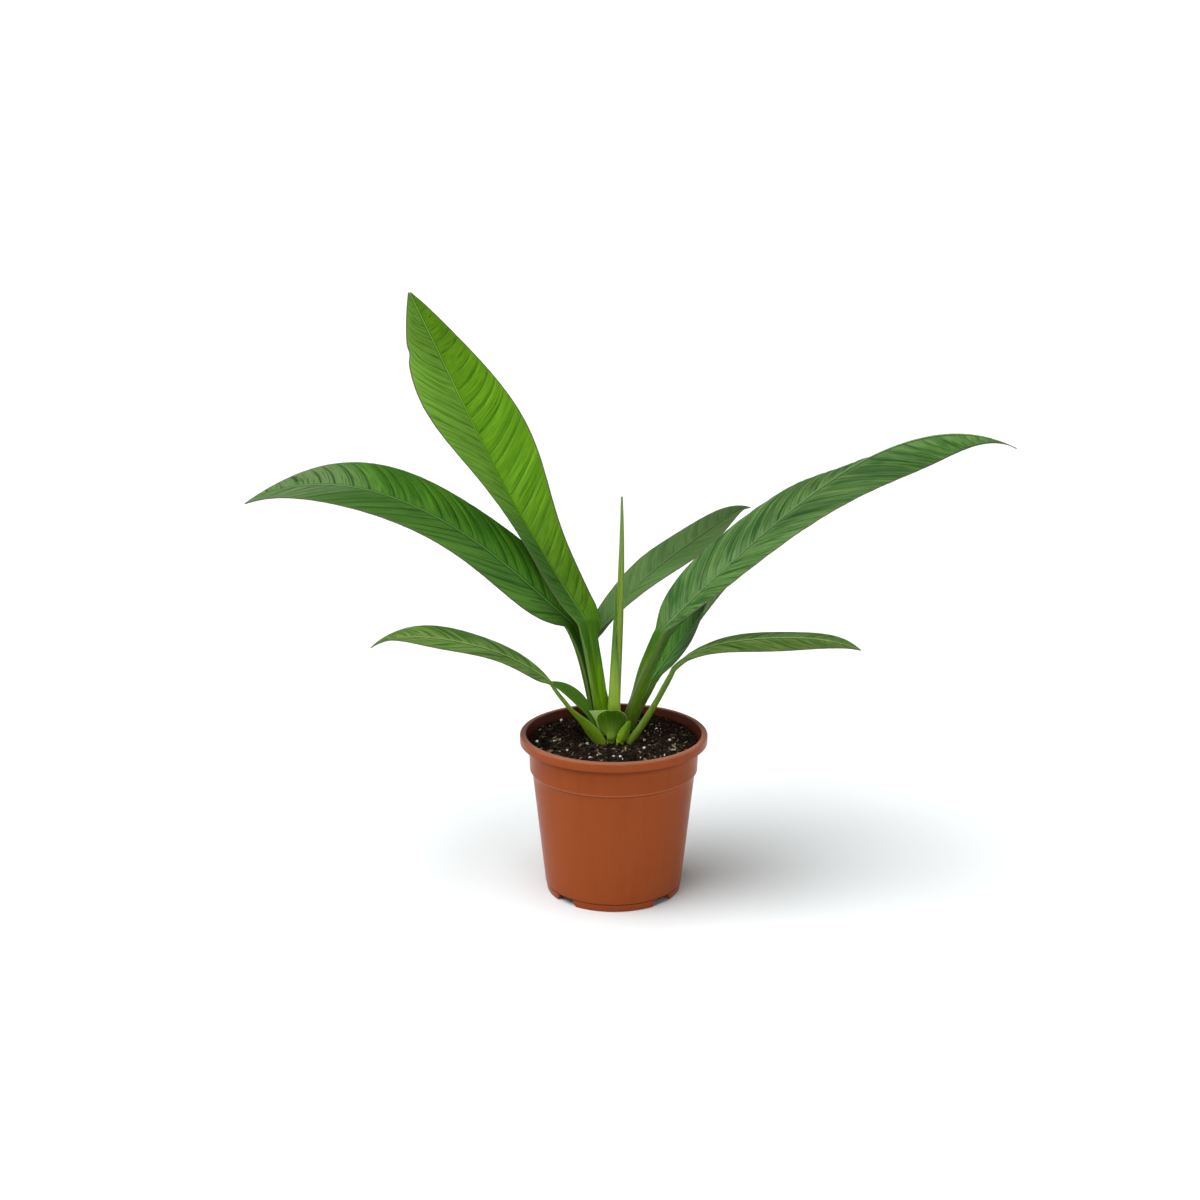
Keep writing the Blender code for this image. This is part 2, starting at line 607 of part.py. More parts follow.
def pot_profile():
    """The pot's section as radius, height and whether the point is on a foot's edge."""
    under_lip = POT_HEIGHT - LIP_DEPTH
    floor_top = FLOOR_HEIGHT + FLOOR_THICKNESS
    outside = [
        (SKIRT_RADIUS, 0.0, True),
        (BODY_FOOT_RADIUS, BODY_FOOT_HEIGHT, False),
        (BODY_TOP_RADIUS, BODY_TOP_HEIGHT, False),
        (COLLAR_FOOT_RADIUS - STEP_ROUND, BODY_TOP_HEIGHT + STEP_ROUND, False),
        (COLLAR_FOOT_RADIUS, COLLAR_FOOT_HEIGHT, False),
        (COLLAR_TOP_RADIUS, under_lip, False),
        (LIP_RADIUS - LIP_EDGE, under_lip, False),
        (LIP_RADIUS, under_lip + LIP_EDGE, False),
        (LIP_RADIUS, POT_HEIGHT - LIP_ROUND, False),
        (LIP_RADIUS - 0.3 * LIP_ROUND, POT_HEIGHT - 0.3 * LIP_ROUND, False),
        (LIP_RADIUS - LIP_ROUND, POT_HEIGHT, False),
    ]
    inside = [
        (RIM_INNER_RADIUS + RIM_ROUND, POT_HEIGHT, False),
        (RIM_INNER_RADIUS, POT_HEIGHT - RIM_ROUND, False),
        (inner_radius(under_lip), under_lip, False),
        (inner_radius(COLLAR_FOOT_HEIGHT), COLLAR_FOOT_HEIGHT, False),
        (inner_radius(BODY_TOP_HEIGHT), BODY_TOP_HEIGHT, False),
        (inner_radius(floor_top + FILLET), floor_top + FILLET, False),
        (inner_radius(floor_top) - FILLET, floor_top, False),
    ]
    underneath = [
        (SKIRT_RADIUS - WALL - FILLET, FLOOR_HEIGHT, False),
        (SKIRT_RADIUS - WALL, NOTCH_HEIGHT + GAP, False),
        (SKIRT_RADIUS - WALL, 0.0, True),
    ]
    return outside + inside, underneath


def build_pot(material):
    """The pot: a turned wall and floor, with notches and drain holes."""
    wall, underneath = pot_profile()
    angles = ring_angles()
    size = len(angles)
    points = []
    for radius, height, on_edge in wall + underneath:
        for angle in angles:
            z = foot_height(angle) if on_edge else height
            turn = math.radians(angle)
            points.append((radius * math.cos(turn), radius * math.sin(turn), z))
    faces = []
    rings = list(range(len(wall) + len(underneath)))
    floor_ring = len(wall) - 1
    for a, b in zip(rings, rings[1:] + rings[:1]):
        if a == floor_ring:
            continue
        for c in range(size):
            d = (c + 1) % size
            faces.append((a * size + c, a * size + d, b * size + d, b * size + c))
    for ring, height in ((floor_ring, FLOOR_HEIGHT + FLOOR_THICKNESS), (floor_ring + 1, FLOOR_HEIGHT)):
        centre = len(points)
        points.append((0.0, 0.0, height))
        for c in range(size):
            d = (c + 1) % size
            pair = (c, d) if ring == floor_ring else (d, c)
            faces.append((ring * size + pair[0], ring * size + pair[1], centre))
    pot = add_object("pot", points, faces, material, sharp_angle=35.0)
    cut(pot, [prism(
        f"drain_{k}", (DRAIN_CIRCLE * math.cos(2 * math.pi * k / DRAIN_HOLES),
                       DRAIN_CIRCLE * math.sin(2 * math.pi * k / DRAIN_HOLES)),
        (DRAIN_RADIUS, DRAIN_RADIUS), 0.0, FLOOR_HEIGHT - 2, FLOOR_HEIGHT + FLOOR_THICKNESS + 2,
    ) for k in range(DRAIN_HOLES)], "drain_holes")
    return pot


def prism(name, centre, halves, turn, bottom, top, sides=12):
    """An upright prism round an ellipse, used as a cutter."""
    outset = 1 / math.cos(math.pi / sides)
    rings = []
    for z in (bottom, top):
        ring = []
        for k in range(sides):
            angle = 2 * math.pi * (k + 0.5) / sides
            across = halves[0] * outset * math.cos(angle)
            deep = halves[1] * outset * math.sin(angle)
            x = centre[0] + across * math.cos(turn) - deep * math.sin(turn)
            y = centre[1] + across * math.sin(turn) + deep * math.cos(turn)
            ring.append((x, y, z))
        rings.append(ring)
    points = rings[0] + rings[1]
    return add_object(name, points, loft(rings))


def cut(body, cutters, name):
    """Takes a set of cutters out of a body."""
    group = bpy.data.collections.new(name)
    bpy.context.scene.collection.children.link(group)
    for cutter in cutters:
        bpy.context.scene.collection.objects.unlink(cutter)
        group.objects.link(cutter)
        cutter.hide_render = True
        cutter.display_type = "WIRE"
    modifier = body.modifiers.new(name, "BOOLEAN")
    modifier.operation = "DIFFERENCE"
    modifier.operand_type = "COLLECTION"
    modifier.collection = group
    modifier.solver = "EXACT"
    return modifier


def soil_height(x, y):
    """The soil's surface: a shallow dip at the crown and a hollow by the wall, with bumps."""
    away = math.hypot(x - CROWN[0], y - CROWN[1])
    dip = SOIL_DIP * math.exp(-((away / DIP_SPREAD) ** 4))
    bumps = math.sin(0.55 * x + 1.0) * math.sin(0.47 * y) + 0.6 * math.sin(0.9 * x - 0.7 * y)
    away = math.hypot(x - HOLLOW[0], y - HOLLOW[1])
    hollow = HOLLOW_DEPTH * math.exp(-((away / HOLLOW_SPREAD) ** 2))
    return SOIL_EDGE_HEIGHT - dip - hollow + SOIL_BUMP * bumps / 1.6


def wall_reach(turn):
    """Radius at which the soil's surface ends, just short of the pot's wall."""
    radius = inner_radius(SOIL_EDGE_HEIGHT)
    height = soil_height(radius * math.cos(turn), radius * math.sin(turn))
    return inner_radius(height) - SOIL_CLEARANCE


def root_holes():
    """A plain hole for each root, and one for the shoot with its sheath."""
    bottom = root_bottom() - GAP
    top = ROOT_TOP + 4
    holes = [prism("hole_shoot", CROWN, (SHOOT_HOLE_RADIUS, SHOOT_HOLE_RADIUS), 0.0, bottom, top, 18)]
    for leaf in LEAVES + SHEATHS:
        halves = (leaf.root_half[0] + HOLE_GAP, leaf.root_half[1] + BLADE_THICKNESS / 2 + GAP)
        turn = math.radians(leaf.root_heading + 90)
        holes.append(prism("hole_" + leaf.name, leaf.root, halves, turn, bottom, top))
    return holes


def build_soil(material):
    """The soil that fills the pot, with a plain hole for each root."""
    turns = [math.radians(angle) for angle in ring_angles()]
    size = len(turns)
    floor = FLOOR_HEIGHT + FLOOR_THICKNESS + GAP
    chamfer_top = floor + SOIL_FOOT_CHAMFER
    under_lip = POT_HEIGHT - LIP_DEPTH
    rings = [
        (inner_radius(floor) - SOIL_CLEARANCE - SOIL_FOOT_CHAMFER, floor),
        (inner_radius(chamfer_top) - SOIL_CLEARANCE, chamfer_top),
        (inner_radius(BODY_TOP_HEIGHT) - SOIL_CLEARANCE, BODY_TOP_HEIGHT),
        (inner_radius(COLLAR_FOOT_HEIGHT) - SOIL_CLEARANCE, COLLAR_FOOT_HEIGHT),
        (inner_radius(under_lip) - SOIL_CLEARANCE, under_lip),
    ]
    points = [(r * math.cos(turn), r * math.sin(turn), z) for r, z in rings for turn in turns]
    for radius in (None, *reversed(SOIL_RINGS)):
        for turn in turns:
            reach = radius or wall_reach(turn)
            x = reach * math.cos(turn)
            y = reach * math.sin(turn)
            points.append((x, y, soil_height(x, y)))
    ring_count = len(rings) + 1 + len(SOIL_RINGS)
    faces = [tuple(range(size))[::-1]]
    for r in range(ring_count - 1):
        for c in range(size):
            d = (c + 1) % size
            faces.append((r * size + c, r * size + d, (r + 1) * size + d))
            faces.append((r * size + c, (r + 1) * size + d, (r + 1) * size + c))
    last = (ring_count - 1) * size
    centre = len(points)
    points.append((0.0, 0.0, soil_height(0.0, 0.0)))
    for c in range(size):
        faces.append((last + c, last + (c + 1) % size, centre))
    soil = add_object("soil", points, faces, material, sharp_angle=80.0)
    cut(soil, root_holes(), "root_holes")
    return soil


def main():
    """Builds the pot, the soil and the plant."""
    clear_scene()
    terracotta = principled("pot_plastic", TERRACOTTA, 0.3)
    earth = principled("soil", SOIL_BROWN, 0.95)
    bright = principled("leaf_bright", LEAF_BRIGHT, LEAF_ROUGHNESS)
    deep = principled("leaf_deep", LEAF_DEEP, LEAF_ROUGHNESS)
    pale = principled("spear_pale", SPEAR_PALE, LEAF_ROUGHNESS)
    olive = principled("sheath_olive", SHEATH_OLIVE, LEAF_ROUGHNESS)
    build_pot(terracotta)
    build_soil(earth)
    for leaf in LEAVES:
        build_leaf(leaf, bright if leaf.name == "leaf_upright" else deep)
    for sheath in SHEATHS:
        build_leaf(sheath, olive)
    build_spear_sheath(pale)
    build_spear(pale)


main()
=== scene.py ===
import math
from dataclasses import dataclass

import bmesh
import bpy
import numpy as np
from mathutils import Euler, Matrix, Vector, noise


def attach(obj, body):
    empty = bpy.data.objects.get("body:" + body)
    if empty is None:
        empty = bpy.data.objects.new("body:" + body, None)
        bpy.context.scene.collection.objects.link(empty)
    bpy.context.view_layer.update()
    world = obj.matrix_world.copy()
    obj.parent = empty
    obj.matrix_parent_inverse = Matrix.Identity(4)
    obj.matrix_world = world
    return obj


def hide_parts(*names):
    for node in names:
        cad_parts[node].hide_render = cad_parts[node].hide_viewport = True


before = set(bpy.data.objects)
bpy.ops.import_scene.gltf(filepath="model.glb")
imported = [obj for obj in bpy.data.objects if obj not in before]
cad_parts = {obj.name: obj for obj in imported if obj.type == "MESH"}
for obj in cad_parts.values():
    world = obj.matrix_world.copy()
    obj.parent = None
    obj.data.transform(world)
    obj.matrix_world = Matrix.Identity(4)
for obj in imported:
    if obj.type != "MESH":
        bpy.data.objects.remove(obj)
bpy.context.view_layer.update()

MM = 0.001
MIDDLE = np.array([15.7, 31.2, 0.0])  # the frame's origin, from the pot's axis, in mm

# Camera, as worked out from the ellipses of the pot: place in metres, pitch in degrees
CAMERA_PLACE = (-0.02444, -1.0025, 0.4381)
CAMERA_PITCH = 14.231
LENS = 48.0
SENSOR = 36.0

# Pot, in mm
POT_HEIGHT = 105.0
LIP_RADIUS = 60.0
LIP_DEPTH = 6.0
LIP_FOOT = POT_HEIGHT - LIP_DEPTH
LIP_ROUND = 1.2
RIM_ROUND = 1.0
RIM_INNER_RADIUS = 56.0
COLLAR_TOP_RADIUS = 54.5
COLLAR_FOOT_RADIUS = 53.8
COLLAR_FOOT_HEIGHT = 83.0
BODY_TOP_RADIUS = 52.3
BODY_TOP_HEIGHT = 80.5
BODY_FOOT_RADIUS = 44.3
BODY_FOOT_HEIGHT = 5.7
SKIRT_RADIUS = 43.3
WALL = 1.3
FLOOR_HEIGHT = 5.0
FLOOR_THICKNESS = 1.6
FLOOR_TOP = FLOOR_HEIGHT + FLOOR_THICKNESS
NOTCH_HEIGHT = 4.3
NOTCH_HALF_ANGLE = 8
FOOT_END_ANGLE = 11
DRAIN_HOLES = 6
DRAIN_RADIUS = 3.5
DRAIN_CIRCLE = 28.0
DRAIN_SIDES = 32
EDGE_CUT = 0.25
FOOT_GROOVE = ((43.95, 4.75), (43.75, 4.95), (43.8, 5.15), (44.25, 5.45))
BODY_ROWS = 12

# Soil, in mm
SOIL_EDGE_HEIGHT = 100.8
SOIL_DIP = 3.0
DIP_SPREAD = 30.0
HOLLOW = (-38.0, 42.0)
HOLLOW_DEPTH = 1.2
HOLLOW_SPREAD = 12.0
SOIL_CLEARANCE = 0.4
GAP = 0.3
SOIL_LEVELS = (30.0, 55.0, BODY_TOP_HEIGHT, COLLAR_FOOT_HEIGHT, LIP_FOOT - 1)
SOIL_BEVEL = 1.5
CLOD_SCALE = 0.16  # for each mm
CLOD_LIMITS = (-1.7, 0.3)
LUMP_ROUGHNESS = 0.25

# Crown, in mm; the shoot stands at its middle
CROWN = (0.5, 10.0)
ROOT_DEPTH = 16.0
ROOT_BOTTOM = SOIL_EDGE_HEIGHT - SOIL_DIP - ROOT_DEPTH
ROOT_TOP = 98.9

# Leaves: sizes in mm, places as shares of the blade, the stalk or the half width
BLADE_THICKNESS = 0.62
EDGE_THICKNESS = 0.22
ROWS_PER_VEIN = 12
STALK_ROWS = 44
HALF_STATIONS = 17
SPINE_STEPS = 600
STALK_START = -0.75
TIP_END = 0.992
TIP_HALF_WIDTH = 0.35
MIDRIB_HALF_WIDTH = 1.2
VEIN_PATH = (0.55, 0.45)
VEIN_SHIFTS = ((0.0073, 5.3), (0.006, 8.9))
WAVE_HEIGHT = 0.8
WAVE_TURNS = 1.45
WAVE_PHASE = 4.5
STALK_OPEN = 0.4
STALK_JOIN = 0.7
KEEL_FADE = 1.5
KEEL_NARROWING = 6
PLEAT_RISE = 0.3
PLEAT_MARGIN = 0.7
PLEAT_FLATTENING = 0.85
PLEAT_ENDS = (0.08, 0.8)
SHEATH_ROWS = 60
ROOT_ROWS = (-1.0, -0.9, -0.82)
KEEL_STATIONS = 5
KEEL_STATIONS_END = 0.4
STATION_CROWDING = 1.25
SMALL_VEINS = 4  # to each side vein
SMALL_VEIN_HEIGHT = 0.05
RIB_HALF_WIDTH = 0.55  # at the tip, and twice this at the base
RIB_HEIGHT = 0.4
RIB_DITCH = 0.35


@dataclass
class Leaf:
    """One leaf with its stalk, or one sheath or scale. Sizes in mm and angles in degrees.

    From rise to half_width, values with several entries are keys of a Bezier blend from the
    blade's base to its tip. The sweeps are such keys too.
    """
    name: str
    root: tuple  # where it enters the soil
    root_half: tuple  # half width and depth there
    root_heading: float
    stalk: tuple  # half widths low and high up, and depth
    base: tuple  # where the blade starts
    length: float
    rise: tuple
    heading: tuple
    roll: tuple
    fold: tuple  # how steeply each half rises from the midrib
    curl: tuple  # how far each half bends down on the way to its margin
    half_width: tuple
    keel: float  # depth of the ridge under the blade's base
    veins: int = 0
    pleat: float = 0.5
    sharp: float = 1.8  # how narrow the grooves between the pleats are
    seed: int = 0
    channel: float = 20.0  # fold of the stalk
    lift: float = 0.1  # how steeply the stalk starts
    knee: float = 0.12  # how far the stalk bends before it meets the blade
    sweep_left: tuple = (1.9, 1.6, 1.2, 0.9, 0.6)  # how far forward a vein runs, in half widths
    sweep_right: tuple = (1.9, 1.6, 1.2, 0.9, 0.6)
    droop: tuple = (0, 0.4, 0.8)  # how far the left half hangs, and from where to where
    nick: tuple = (0.5, 0.1, 0)  # place, length and depth of a dent on the left
    lobe: tuple = (0.1, 0.1, 0)  # place, length and height of a bulge on the right


LEAVES = (
    Leaf("leaf_upright", root=(-6.1, 16.3), root_half=(4.2, 2.6), root_heading=122,
        stalk=(6.0, 5.2, 4.2), channel=26, knee=0.0, base=(-17.4, 15.1, 173.7), length=257,
        rise=(42, 42, 56, 60, 57, 56), heading=(134, 144, 142), roll=(5, 5, 3, 24),
        fold=(10, 55, 38, -6, 3), curl=(14,), half_width=(6.5, 24, 8, 27, 47, 46, 32, 20, 0),
        keel=4.6, veins=22, pleat=0.6, sharp=4.0, seed=3,
        sweep_left=(1.0, 0.2, 0.2, 1.1, 1.0, 0.8), sweep_right=(1.3, 1.0, 1.0, 0.8, 0.2, 0.4),
        nick=(0.832, 0.018, 0.07), lobe=(-0.03, 0.06, 0.8)),
    Leaf("leaf_arch_left", root=(-9.6, 23.4), root_half=(3.6, 2.6), root_heading=140,
        stalk=(4.2, 4.2, 4.2), base=(-27.9, 26.6, 170.7), length=247.6,
        rise=(39, 50, 24, 28, -10, -28), heading=(173, 169, 167), roll=(38, 20, 17, 18),
        fold=(15, 25, 6, 21, 10), curl=(17.5,), half_width=(6.0, 32, 25, 20, 28, 37, 31, 17.5, 0),
        keel=4.2, veins=20, sharp=2.0, seed=5, sweep_left=(2.0, 1.6, 1.4, 1.7, 1.4, 1.0),
        sweep_right=(2.4, 1.9, 1.3, 0.7, 0.5, 0.5)),
    Leaf("leaf_arch_right", root=(7.2, 16.4), root_half=(3.4, 3.2), root_heading=-5,
        stalk=(4.8, 5.0, 8.6), channel=12, lift=0.2, base=(30.5, 6.0, 170.0), length=300.5,
        rise=(40, 31, 42, 32, 4, -28), heading=(29, 21, 18), roll=(-9, 7, 8.5, -43.5),
        fold=(30, 17, 21, -38.5, 2), curl=(23.5,),
        half_width=(5.0, 38.5, 25, 33.5, 40, 41.5, 31.5, -1.5, 0), keel=6.0, veins=21, pleat=1.3,
        sharp=1.5, seed=7, droop=(35, 0.45, 0.8), sweep_left=(2.0, 1.9, 1.9, 1.8, 1.2, 0.8),
        sweep_right=(0.2, 0.8, 1.6, 1.0, 0.9, 0.6)),
    Leaf("leaf_behind_right", root=(10.4, 23.0), root_half=(3.0, 2.4), root_heading=40,
        stalk=(3.2, 3.2, 3.4), base=(25.2, 20.8, 133.1), length=98, rise=(54, 44, 44, 50, 45, 31),
        heading=(24, 25, 25), roll=(0, 3, 18, 28), fold=(0, 17, 20, 34, 33), curl=(8,),
        half_width=(3.2, 13, 19, 24, 27, 25, 19, 12, 0), keel=3.4, veins=12, seed=9),
    Leaf("leaf_back_right", root=(-1.8, 25.4), root_half=(3.2, 2.4), root_heading=95,
        stalk=(3.2, 3.2, 3.8), base=(-14.7, 36.6, 156.9), length=158.8,
        rise=(32, 56, 18, 8, 46, -1), heading=(38, 37, 38), roll=(6, 1, -8, -2),
        fold=(29, 21, 4, -12, 48), curl=(9.5,), half_width=(4.2, 20, 9, 15, 26, 26, 15, 12.5, 0),
        keel=3.4, veins=14, pleat=0.4, seed=11),
    Leaf("leaf_low_left", root=(-8.2, -3.0), root_half=(3.8, 1.8), root_heading=252,
        stalk=(8.2, 0.2, 1.2), lift=-0.02, knee=-0.2, base=(-39.0, -6.0, 139.4), length=122,
        rise=(36, 39, 5, 12, 13, -36), heading=(185, 182, 179), roll=(14, 4, 4, 2),
        fold=(-5, 26, -7, 11, 29), curl=(12,), half_width=(1.8, 12, 17, 18, 20, 23, 21, 7, 0),
        keel=1.6, veins=13, pleat=0.3, seed=13),
    Leaf("leaf_low_right", root=(10.6, -1.6), root_half=(2.8, 2.2), root_heading=-40,
        stalk=(2.2, 2.2, 2.8), lift=-0.05, knee=-0.09, base=(36.6, -6.0, 149.1), length=123,
        rise=(46, 14, 0, 11, 0, -22), heading=(-4.5, -10, -13), roll=(-5, 7, -9, -8),
        fold=(-2, 20, -9, -3, 19), curl=(16,), half_width=(2.4, 13, 11, 18, 24, 24, 17, 10, 0),
        keel=2.6, veins=13, pleat=0.3, seed=15),
)

SHEATHS = (
    Leaf("sheath_left", root=(-9.4, 8.4), root_half=(2.4, 1.2), root_heading=190,
        stalk=(4.0, 4.0, 1.2), base=(-16.4, 9.0, 114.5), length=35, rise=(54, 54, 8),
        heading=(186, 184, 182), roll=(30, 34, 34), fold=(24, 16, 8), curl=(10,),
        half_width=(4.6, 7.0, 6.6, 4.0, 0), keel=1.2),
    Leaf("crown_sheath", root=(-1.7, -0.8), root_half=(2.6, 1.0), root_heading=270,
        stalk=(2.6, 3.0, 1.0), channel=4, base=(-1.3, -2.6, 102.4), length=17.4, rise=(98, 88, 80),
        heading=(270,), roll=(0,), fold=(4,), curl=(-34,), half_width=(3.2, 7.0, 12.5, 12.8, 4.0),
        keel=0.6),
    Leaf("scale_left", root=(-8.4, 3.0), root_half=(1.6, 0.8), root_heading=270,
        stalk=(1.4, 1.2, 0.6), base=(-8.8, 3.4, 104.4), length=13.6, rise=(82, 88), heading=(180,),
        roll=(-90,), fold=(6,), curl=(0,), half_width=(1.2, 1.0, 1.6, 3.6, 6.0), keel=0.4),
    Leaf("scale_front", root=(3.8, -4.6), root_half=(2.4, 1.0), root_heading=275,
        stalk=(2.8, 3.2, 0.8), base=(5.0, -5.2, 101.8), length=13, rise=(66, 68), heading=(0,),
        roll=(90,), fold=(6,), curl=(-30,), half_width=(3.4, 4.2, 3.2, 2.0, 0.8), keel=0.5),
)

# Shoot, in mm and degrees
SPEAR_TIP = (4.9, 8.0, 256.0)
SPEAR_RADIUS = (3.6, 3.6, 3.2, 2.7, 2.2, 0.8)
SPEAR_SEAM = 0.5
SPEAR_SEAM_ANGLE = (215, 260)
SPEAR_BOW = 2.0
SHEATH_TOP = 199.0
SHEATH_THICKNESS = (1.3, 1.2, 0.9, 0.7)
SHEATH_SPAN = (160, 155, 100, 45, 12)
SHEATH_FACING = (205, 190, 176)
SPEAR_RIDGES = (14, 0.05)  # how many round it, and how high
SHEATH_RIDGES = (20, 0.06)  # radians of their wave in 90 degrees, and how high
SHEATH_CLEARANCE = 0.32
SHEATH_EDGE = 0.15


# Loose pieces on the soil

@dataclass
class Loose:
    """One kind of small lumps. Sizes in mm."""
    name: str
    look: str
    count: int
    sizes: tuple  # half widths, least and most
    stretch: tuple  # length for each width, least and most
    fineness: int  # subdivisions of the ball that a lump is made from
    seed: int
    tones: tuple
    height: float  # of a lump's middle over the soil, in half widths
    places: tuple = ()  # x and y of the first ones, from the pot's axis


PERLITE = (
    (20.0, 0.1), (35.8, -3.4), (19.1, -18.5), (-0.2, -34.2), (3.9, -36.4), (-29.4, -26.4),
    (-48.7, -8.1), (-37.6, -5.8), (-16.6, -5.8), (-4.2, -5.4), (39.7, 39.3), (-34.3, 36.8),
    (-52.4, 20.6), (37.7, -23.0), (-14.9, -36.4), (28.1, 21.8),
)
LOOSE = (
    Loose("soil_lumps", "grains", 600, (0.6, 1.7), (1.0, 1.8), 2, 5, (0.0, 0.5), 0.3),
    Loose("soil_grains", "grains", 1800, (0.22, 0.6), (1.0, 3.0), 1, 6, (0.0, 1.0), 0.3),
    Loose("soil_fibres", "fibres", 640, (0.2, 0.42), (4.0, 11.0), 1, 7, (0.0, 1.0), 0.6),
    Loose("soil_chips", "chips", 230, (0.4, 0.85), (2.0, 5.0), 1, 9, (0.0, 1.0), 0.7),
    Loose("perlite", "perlite", 60, (0.3, 0.7), (1.0, 1.4), 2, 8, (0.1, 0.9), 0.6, PERLITE),
)


# Maths shared by the pieces

def blend(keys, s):
    """Bezier blend of key values at s from 0 to 1."""
    last = len(keys) - 1
    s = np.clip(np.asarray(s, float), 0.0, 1.0)
    total = np.zeros_like(s)
    for i, key in enumerate(keys):
        total = total + math.comb(last, i) * s**i * (1 - s) ** (last - i) * key
    return total


def ease(start, end, s):
    """Smooth step from 0 at start to 1 at end."""
    t = np.clip((np.asarray(s, float) - start) / (end - start), 0.0, 1.0)
    return t * t * (3 - 2 * t)


def unit(vectors):
    """Vectors scaled to length 1."""
    return vectors / np.linalg.norm(vectors, axis=-1, keepdims=True)


def window(start, full, fading, end, s):
    """1 between full and fading, eased to 0 at start and end."""
    return ease(start, full, s) * (1 - ease(fading, end, s))


def bell(value, middle, spread):
    """Bell curve, 1 at its middle."""
    return np.exp(-(((value - middle) / spread) ** 2))


def dome(value, power=2):
    """Round profile, 1 at 0 and 0 from 1 on."""
    return np.sqrt(np.clip(1 - value**power, 0, 1))


def times(amounts, directions):
    """Directions scaled by amounts."""
    return amounts[..., None] * directions


def ring_points(radius, turn, z, axis=(0.0, 0.0)):
    """Points at angles round an upright axis."""
    x = axis[0] + radius * np.cos(turn)
    y = axis[1] + radius * np.sin(turn)
    return np.stack([x, y, z + np.zeros_like(x)], -1)


def add_object(name, data):
    """Puts a new object in the scene."""
    item = bpy.data.objects.new(name, data)
    bpy.context.scene.collection.objects.link(item)
    return item


def add_mesh(name, points, faces, material, sharp_angle=60.0, attributes=None):
    """Makes one closed body from points in mm, measured from the pot's axis."""
    mesh = bpy.data.meshes.new(name)
    places = (np.asarray(points, float) - MIDDLE) * MM
    mesh.from_pydata(places, [], outward(faces, points))
    mesh.shade_smooth()
    mesh.set_sharp_from_angle(angle=math.radians(sharp_angle))
    for key, values in (attributes or {}).items():
        layer = mesh.attributes.new(key, "FLOAT", "POINT")
        layer.data.foreach_set("value", np.asarray(values, np.float32).ravel())
    mesh.materials.append(material)
    return add_object(name, mesh)


def outward(faces, points):
    """Faces turned to point out of the body."""
    faces = np.asarray(faces)
    first, *others = (np.asarray(points, float)[column] for column in faces.T)
    volume = sum((first * np.cross(b, c)).sum() for b, c in zip(others, others[1:]))
    return faces if volume > 0 else faces[:, ::-1]


# Leaves

def blade_axes(leaf, s):
    """Direction of the midrib, left side and upper face of the blade."""
    rise = np.radians(blend(leaf.rise, s))
    heading = np.radians(blend(leaf.heading, s))
    roll = np.radians(blend(leaf.roll, s))[:, None]
    level = np.cos(rise)
    along = np.stack([level * np.cos(heading), level * np.sin(heading), np.sin(rise)], -1)
    side = np.stack([-np.sin(heading), np.cos(heading), np.zeros_like(heading)], -1)
    up = np.cross(along, side)
    left = np.cos(roll) * side - np.sin(roll) * up
    face = np.cos(roll) * up + np.sin(roll) * side
    return along, left, face


def stalk_share(s):
    """How far along the stalk: 0 at the soil, 1 at the blade's base."""
    return np.clip(1 - s / STALK_START, 0.0, 1.0)


def stalk_spine(leaf, s, first_direction):
    """Points from the root's end (s = -1) up to the blade's base (s = 0)."""
    root = np.array([*leaf.root, ROOT_TOP])
    base = np.array(leaf.base, float)
    third = (base - root) / 3
    reach = np.linalg.norm(base - root)
    second = root + third + np.array([0, 0, leaf.lift]) * reach
    knee = base - third + (unit(third) - first_direction) * reach * leaf.knee
    curve = blend((root, second, knee, base), stalk_share(s)[:, None])
    sunk = np.clip((STALK_START - s) / (1 + STALK_START), 0.0, 1.0)
    curve[:, 2] -= sunk * (ROOT_TOP - ROOT_BOTTOM)
    return curve


def leaf_frames(leaf):
    """Midline points with the left side and upper face there, root (-1) to tip (1)."""
    s = np.linspace(-1.0, 1.0, 2 * SPINE_STEPS + 1)
    along, left, face = blade_axes(leaf, s[SPINE_STEPS:])
    steps = (along[1:] + along[:-1]) / 2 * leaf.length / SPINE_STEPS
    blade = np.vstack([np.zeros(3), np.cumsum(steps, axis=0)]) + np.array(leaf.base)
    stalk_s = s[:SPINE_STEPS + 1]
    stalk = stalk_spine(leaf, stalk_s, along[0])
    stalk_along = unit(np.gradient(stalk, axis=0))
    azimuth = math.radians(leaf.root_heading)
    root_left = np.array([-math.sin(azimuth), math.cos(azimuth), 0.0])
    turn = ease(0.0, 1.0, stalk_share(stalk_s))[:, None]
    stalk_left = (1 - turn) * root_left + turn * left[0]
    stalk_left -= (stalk_left * stalk_along).sum(-1, keepdims=True) * stalk_along
    stalk_left = unit(stalk_left)
    stalk_face = np.cross(stalk_along, stalk_left)
    return {
        "s": s,
        "point": np.vstack([stalk[:-1], blade]),
        "left": np.vstack([stalk_left[:-1], left]),
        "face": np.vstack([stalk_face[:-1], face]),
    }


